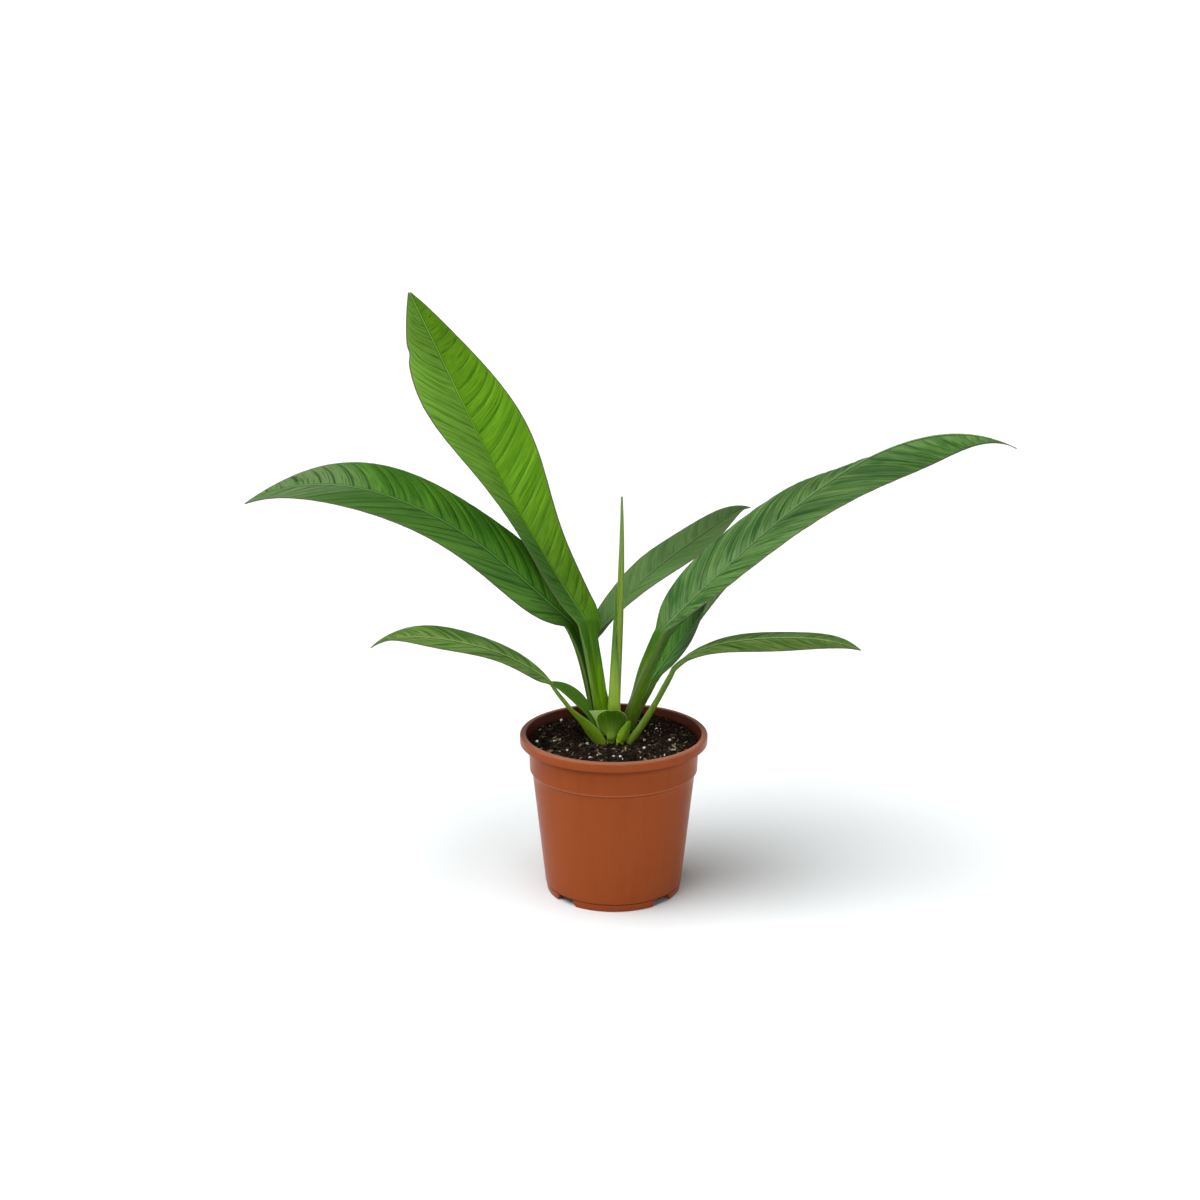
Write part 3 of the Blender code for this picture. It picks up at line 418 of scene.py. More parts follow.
def leaf_table(leaf):
    """Everything that changes along a leaf, from its root (-1) to its tip (1)."""
    table = leaf_frames(leaf)
    s = table["s"]
    on_stalk = s < 0
    share = stalk_share(s)
    root_width, root_depth = leaf.root_half
    low_width, high_width, depth = leaf.stalk
    stalk_half = blend((root_width, low_width, high_width, leaf.half_width[0]), share)
    half = np.where(on_stalk, stalk_half, blend(leaf.half_width, s))
    table["half"] = np.maximum(half, TIP_HALF_WIDTH)
    opened = ease(0.0, STALK_OPEN, share)
    near_blade = ease(STALK_JOIN, 1.0, share)
    stalk_fold = leaf.channel * opened * (1 - near_blade) + leaf.fold[0] * near_blade
    table["fold"] = np.where(on_stalk, stalk_fold, blend(leaf.fold, s))
    stalk_curl = leaf.curl[0] * ease(STALK_OPEN, 1.0, share)
    table["curl"] = np.where(on_stalk, stalk_curl, blend(leaf.curl, s))
    table["bulge"] = root_depth * (1 - opened)
    left_over = 1 - np.clip(s, 0.0, 1.0)
    stalk_keel = blend((root_depth, depth, depth, leaf.keel), share)
    table["keel"] = np.where(on_stalk, stalk_keel, leaf.keel * left_over**KEEL_FADE)
    reach = leaf.half_width[0] * left_over**KEEL_NARROWING + MIDRIB_HALF_WIDTH
    table["keel_reach"] = np.where(on_stalk, 1.0, np.clip(reach / table["half"], 0.0, 1.0))
    return table


def sample(table, key, s):
    """A table's column at any s."""
    column = table[key]
    if column.ndim == 1:
        return np.interp(s, table["s"], column)
    return np.stack([np.interp(s, table["s"], part) for part in column.T], -1)


def leaf_rows(leaf):
    """Row places along a leaf, as a column."""
    stalk = np.linspace(STALK_START, 0.0, STALK_ROWS + 1)[:-1]
    count = leaf.veins * ROWS_PER_VEIN or SHEATH_ROWS
    blade = np.arange(count) / count * TIP_END
    return np.concatenate([ROOT_ROWS, stalk, blade, [TIP_END]])[:, None]


def vein_count(leaf, rows):
    """Side veins passed on the way from the blade's base, not quite evenly spaced."""
    place = np.array(rows, float)
    uneven = window(0.0, 0.1, 0.85, 1.0, rows)
    for size, turns in VEIN_SHIFTS:
        place += size * np.sin(2 * math.pi * turns * rows + leaf.veins) * uneven
    return leaf.veins * place


def leaf_stations(table, rows):
    """Places across each row as signed fractions of the half width, left margin first."""
    inner = np.minimum(KEEL_STATIONS_END, sample(table, "keel_reach", rows))
    near = inner * (np.arange(KEEL_STATIONS) / KEEL_STATIONS)
    share = np.linspace(0, 1, HALF_STATIONS - KEEL_STATIONS)
    far = inner + (1 - inner) * (1 - (1 - share) ** STATION_CROWDING)
    halves = np.hstack([near, far])
    return np.hstack([halves[:, :0:-1], -halves])


def vein_noise(leaf, vein, across, salt, spread):
    """A random value for each side vein, 1 on average, eased from vein to vein."""
    random = np.random.RandomState(leaf.seed * 17 + salt)
    values = 1 + spread * (2 * random.rand(2, leaf.veins + 12) - 1)
    place = np.clip(vein + 0.5, 0, leaf.veins + 10)
    low = np.floor(place).astype(int)
    mix = ease(0, 1, place - low)
    side = (across < 0).astype(int)
    return values[side, low] * (1 - mix) + values[side, low + 1] * mix


def pleats(leaf, vein, across, s):
    """Height of the upper face above its smooth shape: pleats with narrow grooves between."""
    size = np.abs(across)
    spread = ease(0.0, PLEAT_RISE, size) * (1 - PLEAT_FLATTENING * ease(PLEAT_MARGIN, 1.0, size))
    groove = ((1 - np.cos(2 * math.pi * vein)) / 2) ** leaf.sharp
    strength = vein_noise(leaf, vein, across, 1, 0.35)
    height = leaf.pleat / 2 * (1 - 2 * groove) * strength * spread
    phase = 2 * math.pi * WAVE_TURNS * s + WAVE_PHASE * np.sign(across)
    wave = WAVE_HEIGHT * size**2 * np.sin(phase)
    return (height + wave) * window(0.0, *PLEAT_ENDS, 1.0, s)


def small_veins(vein, size, s):
    """Fine raised lines between the side veins."""
    spread = window(0.03, 0.2, 0.9, 1.0, size) * window(0.0, 0.1, 0.85, 1.0, s)
    return SMALL_VEIN_HEIGHT * np.cos(2 * math.pi * SMALL_VEINS * vein) * spread


def midrib(away, s):
    """Height of the midrib and the ditches beside it, at a distance from the midline."""
    half = RIB_HALF_WIDTH * (2 - np.clip(s, 0, 1))
    ditch = RIB_DITCH * bell(away, 1.7 * half, 0.6 * half)
    return (RIB_HEIGHT * dome(away / half) - ditch) * window(-0.05, 0.05, 0.8, 0.98, s)


def leaf_surface(leaf):
    """Upper and lower points of a leaf in rows, with what the material reads."""
    table = leaf_table(leaf)
    rows = leaf_rows(leaf)
    across = leaf_stations(table, rows)
    size = np.abs(across)
    side = np.sign(across)
    on_left = across > 0
    s = along = rows + np.zeros_like(across)
    if leaf.veins:
        path = (VEIN_PATH[0] * size + VEIN_PATH[1] * size**2) * ease(-0.1, 0.0, rows)
        sweep = np.where(on_left, blend(leaf.sweep_left, rows), blend(leaf.sweep_right, rows))
        s = along + path * sweep * (sample(table, "half", rows) / leaf.length)
        s = np.minimum(s, (1 + TIP_END) / 2)
    place, length, depth = leaf.nick
    dent = depth * bell(s, place, length) * on_left
    place, length, height = leaf.lobe
    swell = height * bell(s, place, length) * ~on_left
    half = sample(table, "half", s) * (1 - dent + swell)
    curl = np.radians(sample(table, "curl", s)) * size / 2
    drop = leaf.droop[0] * ease(leaf.droop[1], leaf.droop[2], s) * on_left
    lift = np.radians(sample(table, "fold", s) - drop) - curl
    distance = size * half * np.sinc(curl / math.pi)
    left = sample(table, "left", s)
    face = sample(table, "face", s)
    surface = sample(table, "point", s) + times(side * distance * np.cos(lift), left)
    surface += times(distance * np.sin(lift), face)
    tilt = lift - curl
    normal = times(np.cos(tilt), face) - times(side * np.sin(tilt), left)
    bulge = sample(table, "bulge", s) * dome(size)
    keel = sample(table, "keel", s) * dome(size / sample(table, "keel_reach", s))
    thick = EDGE_THICKNESS + (BLADE_THICKNESS - EDGE_THICKNESS) * dome(size, 10)
    vein = vein_count(leaf, along)
    offset = rib = tone = np.zeros_like(across)
    if leaf.veins:
        offset = pleats(leaf, vein, across, s) + small_veins(vein, size, s)
        rib = midrib(size * half, s)
        tone = vein_noise(leaf, vein, across, 2, 1.0) - 1
    upper = surface + times(offset + bulge + thick / 2 + rib, normal)
    lower = surface + times(offset - thick / 2 - keel, normal)
    return upper, lower, {
        "vein": vein,
        "tone": tone,
        "mid": size * half,
        "side": side,
        "edge": (1 - size) * half,
        "along": along,
        "size": size,
    }


def skin_faces(rows, columns):
    """Quads round two sheets of points, with closed ends."""
    shift = rows * columns
    grid = np.arange(shift).reshape(rows, columns)
    corners = (grid[:-1, :-1], grid[:-1, 1:], grid[1:, 1:], grid[1:, :-1])
    upper = np.stack(corners, -1).reshape(-1, 4)
    faces = [upper, upper[:, ::-1] + shift]
    for line in (grid[:, 0], grid[::-1, -1], grid[0, ::-1], grid[-1]):
        a, b = line[:-1], line[1:]
        faces.append(np.stack([a, b, b + shift, a + shift], -1))
    return np.vstack(faces)


def build_leaf(leaf, material):
    """One leaf, sheath or scale as a closed body."""
    upper, lower, look = leaf_surface(leaf)
    points = np.vstack([upper.reshape(-1, 3), lower.reshape(-1, 3)])
    attributes = {key: np.tile(values.ravel(), 2) for key, values in look.items()}
    attributes["under"] = np.repeat([0, 1], len(points) // 2)
    faces = skin_faces(*upper.shape[:2])
    return add_mesh(leaf.name + "_fine", points, faces, material, 80.0, attributes)


# Shoot

def spear_axis(z):
    """The spear's axis, its radius and how far up it is, at heights."""
    risen = np.clip((z - ROOT_TOP) / (SPEAR_TIP[2] - ROOT_TOP), 0, None)
    x = CROWN[0] + (SPEAR_TIP[0] - CROWN[0]) * risen + SPEAR_BOW * np.sin(math.pi * risen) * risen
    y = CROWN[1] + (SPEAR_TIP[1] - CROWN[1]) * risen
    share = (z - ROOT_BOTTOM) / (SPEAR_TIP[2] - ROOT_BOTTOM)
    return (x, y), blend(SPEAR_RADIUS, share), risen


def build_spear(material, rows=150, sides=64):
    """The rolled new leaf, with the step of its outer edge winding up it."""
    z = np.linspace(ROOT_BOTTOM, SPEAR_TIP[2], rows)[:, None]
    axis, radius, risen = spear_axis(z)
    turn = np.arange(sides) / (sides - 1)
    angle = np.radians(blend(SPEAR_SEAM_ANGLE, risen)) + 2 * math.pi * np.arange(sides) / sides
    slim = np.minimum(1.0, radius / 2)
    ridges, height = SPEAR_RIDGES
    ridge = height * (np.cos(ridges * angle) * ease(0, 0.2, 1 - risen) * slim - 1)
    r = radius - SPEAR_SEAM * (1 - turn) * slim + ridge
    ends = ring_points(0.0, 0.0, z, axis)[[0, -1], 0]
    points = np.vstack([ring_points(r, angle, z, axis).reshape(-1, 3), ends])
    look = {"risen": np.append(np.repeat(risen, sides), [0, 1])}
    return add_mesh("spear_fine", points, ring_faces(rows, sides), material, 50.0, look)


def ring_faces(rows, sides):
    """Triangles joining rings of equal size; the two points after them close the ends."""
    a = np.arange(rows * sides).reshape(rows, sides)
    b = np.roll(a, -1, axis=1)
    foot = np.full(sides, rows * sides)
    corners = (
        (a[:-1], b[:-1], b[1:]), (a[:-1], b[1:], a[1:]), (b[0], a[0], foot),
        (a[-1], b[-1], foot + 1),
    )
    return np.vstack([np.stack(triple, -1).reshape(-1, 3) for triple in corners])


def build_spear_sheath(material, rows=110, stations=49):
    """A sheath that wraps the spear's foot and narrows to a point on its left."""
    t = np.linspace(0, 1, rows)[:, None]
    z = ROOT_BOTTOM + (SHEATH_TOP - ROOT_BOTTOM) * t
    axis, radius, risen = spear_axis(z)
    across = 1 - 2 * np.arange(stations) / (stations - 1)
    span = blend(SHEATH_SPAN, t)
    turn = np.radians(blend(SHEATH_FACING, t) + span * across)
    ridges, height = SHEATH_RIDGES
    ridge = height * np.cos(ridges * across * span / 90)
    inside = radius + SHEATH_CLEARANCE
    thick = blend(SHEATH_THICKNESS, t) - 0.2 + ridge
    outside = inside + SHEATH_EDGE + thick * dome(across, 8)
    skins = [ring_points(r, turn, z, axis).reshape(-1, 3) for r in (inside, outside)]
    look = {"risen": np.tile(np.repeat(risen, stations), 2)}
    faces = skin_faces(rows, stations)
    return add_mesh("spear_sheath_fine", np.vstack(skins), faces, material, 60.0, look)


# Pot

def inner_radius(z):
    """Inside radius of the pot at a height, below its rim."""
    heights = (FLOOR_HEIGHT, BODY_TOP_HEIGHT, COLLAR_FOOT_HEIGHT, LIP_FOOT, POT_HEIGHT)
    walls = (BODY_FOOT_RADIUS, BODY_TOP_RADIUS, COLLAR_FOOT_RADIUS, COLLAR_TOP_RADIUS)
    return float(np.interp(z, heights, [*(r - WALL for r in walls), RIM_INNER_RADIUS]))


def arc(centre, radius, start, end, steps):
    """Points of an arc in the section, angles in degrees from outward."""
    return [
        (centre[0] + radius * math.cos(a), centre[1] + radius * math.sin(a))
        for a in np.radians(np.linspace(start, end, steps))
    ]


def pot_section():
    """The pot's section as radius and height, from under its floor to its floor's top."""
    skirt = SKIRT_RADIUS - WALL
    collar = COLLAR_FOOT_RADIUS
    widening = (BODY_TOP_RADIUS - BODY_FOOT_RADIUS) / BODY_ROWS
    step = (BODY_TOP_HEIGHT - BODY_FOOT_HEIGHT) / BODY_ROWS
    levels = (LIP_FOOT, COLLAR_FOOT_HEIGHT, BODY_TOP_HEIGHT, FLOOR_TOP + 1)
    return [
        (skirt - 1.0, FLOOR_HEIGHT), (skirt, NOTCH_HEIGHT + GAP), (skirt, EDGE_CUT),
        (skirt + EDGE_CUT, 0.0), (SKIRT_RADIUS - EDGE_CUT, 0.0), (SKIRT_RADIUS, EDGE_CUT),
        *FOOT_GROOVE,
        *((BODY_FOOT_RADIUS + widening * k, BODY_FOOT_HEIGHT + step * k) for k in range(BODY_ROWS)),
        (BODY_TOP_RADIUS - 0.03, BODY_TOP_HEIGHT - 0.3), (BODY_TOP_RADIUS + 0.25, BODY_TOP_HEIGHT),
        (collar - 0.35, BODY_TOP_HEIGHT + 0.35), (collar - 0.04, BODY_TOP_HEIGHT + 0.8),
        (collar, BODY_TOP_HEIGHT + 1.3), (collar, COLLAR_FOOT_HEIGHT),
        (COLLAR_TOP_RADIUS - 0.1, LIP_FOOT - 1.0), (COLLAR_TOP_RADIUS + 0.1, LIP_FOOT - 0.3),
        (COLLAR_TOP_RADIUS + 0.6, LIP_FOOT), (LIP_RADIUS - 0.75, LIP_FOOT),
        (LIP_RADIUS - 0.25, LIP_FOOT + 0.15), (LIP_RADIUS, LIP_FOOT + 0.55),
        *arc((LIP_RADIUS - LIP_ROUND, POT_HEIGHT - LIP_ROUND), LIP_ROUND, 0, 90, 8),
        *arc((RIM_INNER_RADIUS + RIM_ROUND, POT_HEIGHT - RIM_ROUND), RIM_ROUND, 90, 180, 7),
        *((inner_radius(z), z) for z in levels),
        (inner_radius(FLOOR_TOP) - 0.3, FLOOR_TOP + 0.3), (inner_radius(FLOOR_TOP) - 1, FLOOR_TOP),
    ]


def build_pot(material):
    """The pot: a turned wall and floor, with notches and drain holes."""
    section = pot_section()
    angles = np.arange(360.0)
    turn = np.radians(angles)
    off = np.abs(angles % 90 - 45)
    slope = (FOOT_END_ANGLE - off) / (FOOT_END_ANGLE - NOTCH_HALF_ANGLE)
    notch = NOTCH_HEIGHT * np.clip(slope, 0, 1)
    rings = [ring_points(radius, turn, np.maximum(notch, z)) for radius, z in section]
    centres = [[0, 0, FLOOR_HEIGHT], [0, 0, FLOOR_TOP]]
    inside = [radius < inner_radius(z) + 0.5 and z > FLOOR_HEIGHT for radius, z in section]
    pot = add_mesh(
        "pot_fine", np.vstack([*rings, centres]), ring_faces(len(section), len(angles)),
        material, 40.0, {"inside": np.append(np.repeat(inside, len(angles)), [0, 1])})
    cutters = []
    ring = 2 * math.pi * np.arange(DRAIN_SIDES) / DRAIN_SIDES
    for hole in range(DRAIN_HOLES):
        around = 2 * math.pi * hole / DRAIN_HOLES
        x, y = DRAIN_CIRCLE * math.cos(around), DRAIN_CIRCLE * math.sin(around)
        ends = (FLOOR_HEIGHT - 2, FLOOR_TOP + 2)
        prism = [ring_points(DRAIN_RADIUS, ring, z, (x, y)) for z in ends]
        prism = np.vstack([*prism, [[x, y, z] for z in ends]])
        cutters.append(add_mesh(f"drain_{hole}", prism, ring_faces(2, DRAIN_SIDES), material))
    cut(pot, cutters)
    return pot


def cut(body, cutters):
    """Takes the cutters out of a body and removes them."""
    for cutter in cutters:
        modifier = body.modifiers.new(cutter.name, "BOOLEAN")
        modifier.operation = "DIFFERENCE"
        modifier.object = cutter
        modifier.solver = "EXACT"
    graph = bpy.context.evaluated_depsgraph_get()
    mesh = bpy.data.meshes.new_from_object(body.evaluated_get(graph))
    body.modifiers.clear()
    body.data = mesh
    for cutter in cutters:
        bpy.data.objects.remove(cutter, do_unlink=True)


# Soil

def soil_height(x, y):
    """The soil's smooth surface: a shallow dip at the crown and a hollow by the wall."""
    away = np.hypot(x - CROWN[0], y - CROWN[1])
    dip = SOIL_DIP * np.exp(-((away / DIP_SPREAD) ** 4))
    away = np.hypot(x - HOLLOW[0], y - HOLLOW[1])
    hollow = HOLLOW_DEPTH * bell(away, 0, HOLLOW_SPREAD)
    return SOIL_EDGE_HEIGHT - dip - hollow


def clods(x, y):
    """Height of the clods and hollows at a place on the soil's smooth surface."""
    place = Vector((x * CLOD_SCALE, y * CLOD_SCALE, 0.0))
    rough = noise.fractal(place, 0.9, 2.1, 5)
    small = noise.noise(place * 2.6) + 0.6 * noise.noise(place * 6.5)
    low, high = CLOD_LIMITS
    return max(low, min(high, 0.9 * rough + 0.9 * small - 0.45))


def ground(x, y):
    """Height of the rough soil at a place."""
    return float(soil_height(x, y)) + clods(x, y)


def build_soil(material, rings=64, sides=240):
    """The soil as a closed body with a rough surface."""
    turn = 2 * math.pi * np.arange(sides) / sides
    floor = FLOOR_TOP + GAP
    layers = [ring_points(inner_radius(floor) - SOIL_CLEARANCE - SOIL_BEVEL, turn, floor)]
    for z in (floor + SOIL_BEVEL, *SOIL_LEVELS):
        layers.append(ring_points(inner_radius(z) - SOIL_CLEARANCE, turn, z))
    edge = inner_radius(SOIL_EDGE_HEIGHT) - SOIL_CLEARANCE
    for k in range(rings):
        layer = ring_points((edge - 0.4) * (1 - k / rings) ** 0.85, turn, 0.0)
        layer[:, 2] = [ground(x, y) for x, y, _ in layer]
        layers.append(layer)
    points = np.vstack([*layers, [[0, 0, floor], [0, 0, ground(0, 0)]]])
    return add_mesh("soil_fine", points, ring_faces(len(layers), sides), material, 80.0)


def lump_shape(subdivisions):
    """A unit ball of triangles."""
    ball = bmesh.new()
    bmesh.ops.create_icosphere(ball, subdivisions=subdivisions, radius=1.0)
    ball.verts.ensure_lookup_table()
    points = np.array([v.co for v in ball.verts])
    faces = np.array([[v.index for v in f.verts] for f in ball.faces])
    ball.free()
    return points, faces


def scatter(kind, material):
    """Many small closed lumps lying on the soil, joined into one piece."""
    random = np.random.RandomState(kind.seed)
    shape, shape_faces = lump_shape(kind.fineness)
    edge = inner_radius(SOIL_EDGE_HEIGHT) - SOIL_CLEARANCE

    def draw(low, high, power=1):
        """A random value between two bounds, nearer the low one for a higher power."""
        return low + (high - low) * random.rand() ** power

    points = []
    tones = []
    for k in range(kind.count):
        size = draw(*kind.sizes, 2)
        long = size * draw(*kind.stretch, 2)
        if k < len(kind.places):
            x, y = kind.places[k]
            size = kind.sizes[1] * draw(1.1, 1.5)
            long = size * 1.2
        else:
            r = (edge - long) * math.sqrt(random.rand())
            around = draw(0, 2 * math.pi)
            x, y = r * math.cos(around), r * math.sin(around)
        body = shape * (1 + LUMP_ROUGHNESS * (2 * random.rand(len(shape), 1) - 1))
        body = body * np.array([long, size * draw(0.7, 1.2), size * draw(0.6, 1.0)])
        heading, pitch, roll = draw(0, 2 * math.pi), draw(-0.55, 0.55), draw(0, 2 * math.pi)
        body = body @ np.array(Euler((roll, pitch, heading)).to_matrix()).T
        points.append(body + np.array([x, y, ground(x, y) + size * kind.height]))
        tones.append(np.full(len(shape), draw(*kind.tones)))
    faces = np.vstack([shape_faces + k * len(shape) for k in range(kind.count)])
    look = {"tone": np.concatenate(tones)}
    return add_mesh(kind.name, np.vstack(points), faces, material, 35.0, look)


# Materials

class Shader:
    """Short calls for building the nodes of a material, or of the world."""

    def __init__(self, owner, main):
        owner.use_nodes = True
        self.owner = owner
        self.tree = owner.node_tree
        self.main = self.tree.nodes[main]

    def plug(self, socket, value):
        """Links a socket, or sets its value."""
        if isinstance(value, bpy.types.NodeSocket):
            self.tree.links.new(value, socket)
        elif isinstance(value, tuple):
            socket.default_value = (*value, 1.0)
        else:
            socket.default_value = value

    def node(self, kind, inputs=None, **settings):
        """A new node with its settings, and what goes into its sockets."""
        node = self.tree.nodes.new("ShaderNode" + kind)
        for key, value in settings.items():
            setattr(node, key, value)
        for key, value in (inputs or {}).items():
            self.plug(node.inputs[key], value)
        return node

    def attribute(self, name):
        """A value that the mesh carries at each point."""
        return self.node("Attribute", attribute_name=name).outputs["Fac"]

    def math(self, operation, a, b=0.0, c=0.0):
        """One sum."""
        return self.node("Math", {0: a, 1: b, 2: c}, operation=operation).outputs[0]

    def times(self, a, b):
        """Product of two values."""
        return self.math("MULTIPLY", a, b)

    def apart(self, a, b):
        """Distance between two values."""
        return self.math("ABSOLUTE", self.math("SUBTRACT", a, b))

    def swing(self, value, amount, middle=0.0):
        """A value from 0 to 1, scaled to swing about a middle."""
        return self.math("MULTIPLY_ADD", value, amount, middle - amount / 2)

    def smooth(self, value, low, high, to_low=0.0, to_high=1.0):
        """Smooth step of a value between two bounds."""
        names = ("Value", "From Min", "From Max", "To Min", "To Max")
        inputs = dict(zip(names, (value, low, high, to_low, to_high)))
        return self.node("MapRange", inputs, interpolation_type="SMOOTHSTEP").outputs["Result"]

    def mix(self, factor, a, b, kind="MIX"):
        """A blend of two colours."""
        inputs = {0: factor, 6: a, 7: b}
        return self.node("Mix", inputs, data_type="RGBA", blend_type=kind).outputs[2]

    def noise(self, scale, detail=3.0, roughness=0.5, stretch=None):
        """Noise fixed to the object, as a value."""
        place = self.node("TexCoord").outputs["Object"]
        if stretch:
            mapping = self.node("Mapping", {"Vector": place})
            mapping.inputs["Scale"].default_value = stretch
            place = mapping.outputs["Vector"]
        inputs = {"Vector": place, "Scale": scale, "Detail": detail, "Roughness": roughness}
        return self.node("TexNoise", inputs).outputs["Fac"]

    def streaks(self, place, across):
        """Noise over two given coordinates, as a value."""
        join = self.node("CombineXYZ", {0: place, 1: across})
        inputs = {"Vector": join.outputs[0], "Scale": 1.0, "Detail": 2.0}
        return self.node("TexNoise", inputs, noise_dimensions="2D").outputs["Fac"]

    def surface(self, colour, roughness, height=None, distance=0.0, strength=1.0):
        """The finished material, with a bump of a distance in metres if it has a height."""
        self.plug(self.main.inputs["Base Color"], colour)
        self.plug(self.main.inputs["Roughness"], roughness)
        if height is not None:
            inputs = {"Strength": strength, "Distance": distance, "Height": height}
            self.plug(self.main.inputs["Normal"], self.node("Bump", inputs).outputs["Normal"])
        return self.owner


def new_material(name, gloss):
    """The nodes of a new material."""
    k = Shader(bpy.data.materials.new(name), "Principled BSDF")
    k.main.inputs["Specular IOR Level"].default_value = gloss
    return k


@dataclass
class LeafLook:
    """Colours, painted light and shade, and finish of one leaf. Places along it run from 0 at the
    blade's base to 1.
    """
    light: tuple
    dark: tuple
    # deep: colour of the painted shade in the grooves and the midrib's ditches, and of the fine
    # dark streaks
    deep: tuple
    rib: tuple
    stalk_low: tuple
    stalk_high: tuple
    under: tuple = (0.07, 0.15, 0.035)
    groove: float = 0.8  # how dark the painted shade in the grooves is
    groove_width: float = 0.14   # in vein spacings
    rib_width: float = 0.7  # in mm
    roughness: float = 0.5
    gloss: float = 0.06
    shade: tuple = ()  # tint of the left half near the base
    shade_end: float = 0.0  # how far up it reaches
    fine: float = 1.8  # contrast of the fine streaks
    midrib_sheen: float = 0.0  # painted sheen: how much paler it is beside the midrib
    left: tuple = ()  # painted sheen: a tint of the whole left half
    left_lines: float = 1.0  # grooves drawn on the left half for each side vein
    tip: tuple = ()  # painted sheen: a tint towards the tip
    bright: tuple = (1.0, 1.0, 1.0)  # painted light and shadow: brightness at the base, in the middle and at the tip
    turns: tuple = (0.25, 0.45, 0.66, 0.82)  # where it changes from one to the next


MARGIN_BROWN = (0.085, 0.075, 0.052)
STALK_EDGE = (0.15, 0.2, 0.06)


def leaf_material(name, look):
    """One leaf's blade, underside and stalk. The widths read from the mesh are in mm."""
    k = new_material(name, look.gloss)
    keys = ("vein", "tone", "mid", "edge", "along", "side")
    vein, tone, mid, edge, along, side = (k.attribute(key) for key in keys)
    on_left = k.smooth(side, -0.1, 0.1)

    # Streaks along the veins, clouds and fine mottling
    size = k.math("MULTIPLY_ADD", k.attribute("size"), 1.2, k.times(side, 40.0))
    bands = k.streaks(k.times(vein, 2.1), size)
    fine = k.streaks(k.times(vein, 8.0), k.math("ADD", size, 7.0))
    patches = k.streaks(k.times(vein, 0.9), k.math("MULTIPLY_ADD", size, 1.3, 3.0))
    cloud = k.noise(28.0, 3.0, 0.6)
    mottle = k.noise(300.0, 4.0, 0.6)
    share = k.math("MULTIPLY_ADD", tone, 0.22, 0.5)
    for value, amount in ((bands, 1.2), (cloud, 0.9), (mottle, 0.3), (fine, look.fine)):
        share = k.math("ADD", share, k.swing(value, amount))
    blade = k.mix(share, look.dark, look.light)
    # Painted sheen over the left half
    if look.left:
        blade = k.mix(k.times(on_left, 0.5), blade, look.left)
    # Painted sheen towards the tip
    if look.tip:
        blade = k.mix(k.smooth(along, *look.turns[2:], 0.0, 0.6), blade, look.tip)
    # Painted sheen beside the midrib
    if look.midrib_sheen:
        blade = k.mix(k.smooth(mid, 0.6, 9.0, look.midrib_sheen, 0.0), blade, look.rib)
    if look.shade:
        shaded = k.smooth(along, look.shade_end / 2, look.shade_end, 0.85, 0.0)
        blade = k.mix(k.times(shaded, on_left), blade, look.shade)

    # Painted shade in the grooves between the pleats, broken into patches, and finer dark streaks
    lines = k.math("MULTIPLY_ADD", on_left, look.left_lines - 1, 1.0)
    passed = k.times(k.math("ADD", vein, 100.0), lines)
    from_groove = k.apart(k.math("FRACT", passed), 0.5)
    line = k.smooth(from_groove, 0.0, k.times(lines, look.groove_width), 1.0, 0.0)
    line = k.times(line, k.smooth(patches, 0.33, 0.55, 0.45 * look.groove, look.groove))
    line = k.math("MAXIMUM", line, k.smooth(fine, 0.54, 0.68, 0.0, 0.7 * look.groove))
    line = k.times(line, k.smooth(edge, 0.3, 5.0, 0.45, 1.0))
    line = k.times(line, k.smooth(mid, 0.8, 2.2))
    blade = k.mix(line, blade, look.deep)

    # Pale midrib with a dark line of painted shade on each side, in its ditch
    beside = k.apart(mid, look.rib_width * 1.6)
    blade = k.mix(k.smooth(beside, 0.0, look.rib_width * 0.8, 0.8, 0.0), blade, look.deep)
    blade = k.mix(k.smooth(mid, 0.5 * look.rib_width, look.rib_width, 0.8, 0.0), blade, look.rib)

    # Painted light and shadow along the blade, brown margin and underside
    base, middle, tip = look.bright
    level = k.smooth(along, *look.turns[:2], base, middle)
    level = k.times(level, k.smooth(along, *look.turns[2:], 1.0, tip / middle))
    grey = k.node("CombineColor", {0: level, 1: level, 2: level})
    blade = k.mix(1.0, blade, grey.outputs[0], "MULTIPLY")
    blade = k.mix(k.smooth(edge, 0.5, 1.3, 0.92, 0.0), blade, MARGIN_BROWN)
    low = k.mix(k.smooth(mid, 0.8, 2.2, 0.6, 0.0), look.under, look.rib)
    blade = k.mix(k.attribute("under"), blade, low)

    # Streaked stalk
    risen = k.smooth(along, -0.72, -0.1)
    streak = k.swing(k.noise(30.0, 2.0, 0.5, (18.0, 18.0, 1.0)), 1.2)
    stalk = k.mix(k.math("ADD", risen, streak), look.stalk_low, look.stalk_high)
    stalk = k.mix(k.smooth(edge, 0.05, 0.4, 0.5, 0.0), stalk, STALK_EDGE)
    colour = k.mix(k.smooth(along, -0.06, 0.05), stalk, blade)
    roughness = k.swing(mottle, 0.16, look.roughness)
    return k.surface(colour, roughness, k.math("ADD", mottle, fine), 0.00012, 0.7)


def shoot_material(name, low, high, tip, edge_colour, turning):
    """The rolled leaf or its sheath, from one colour at the foot to another above."""
    k = new_material(name, 0.3)
    risen = k.attribute("risen")
    streak = k.noise(60.0, 3.0, 0.6, (16.0, 16.0, 0.8))
    body = k.mix(k.smooth(risen, *turning), low, high)
    body = k.mix(k.smooth(risen, 0.55, 1.0), body, tip)
    body = k.mix(k.smooth(streak, 0.42, 0.7, 0.0, 0.45), body, edge_colour)
    fibres = k.noise(500.0, 2.0, 0.5, (6.0, 6.0, 0.4))
    return k.surface(body, k.swing(k.noise(300.0), 0.15, 0.375), fibres, 0.0001, 0.5)


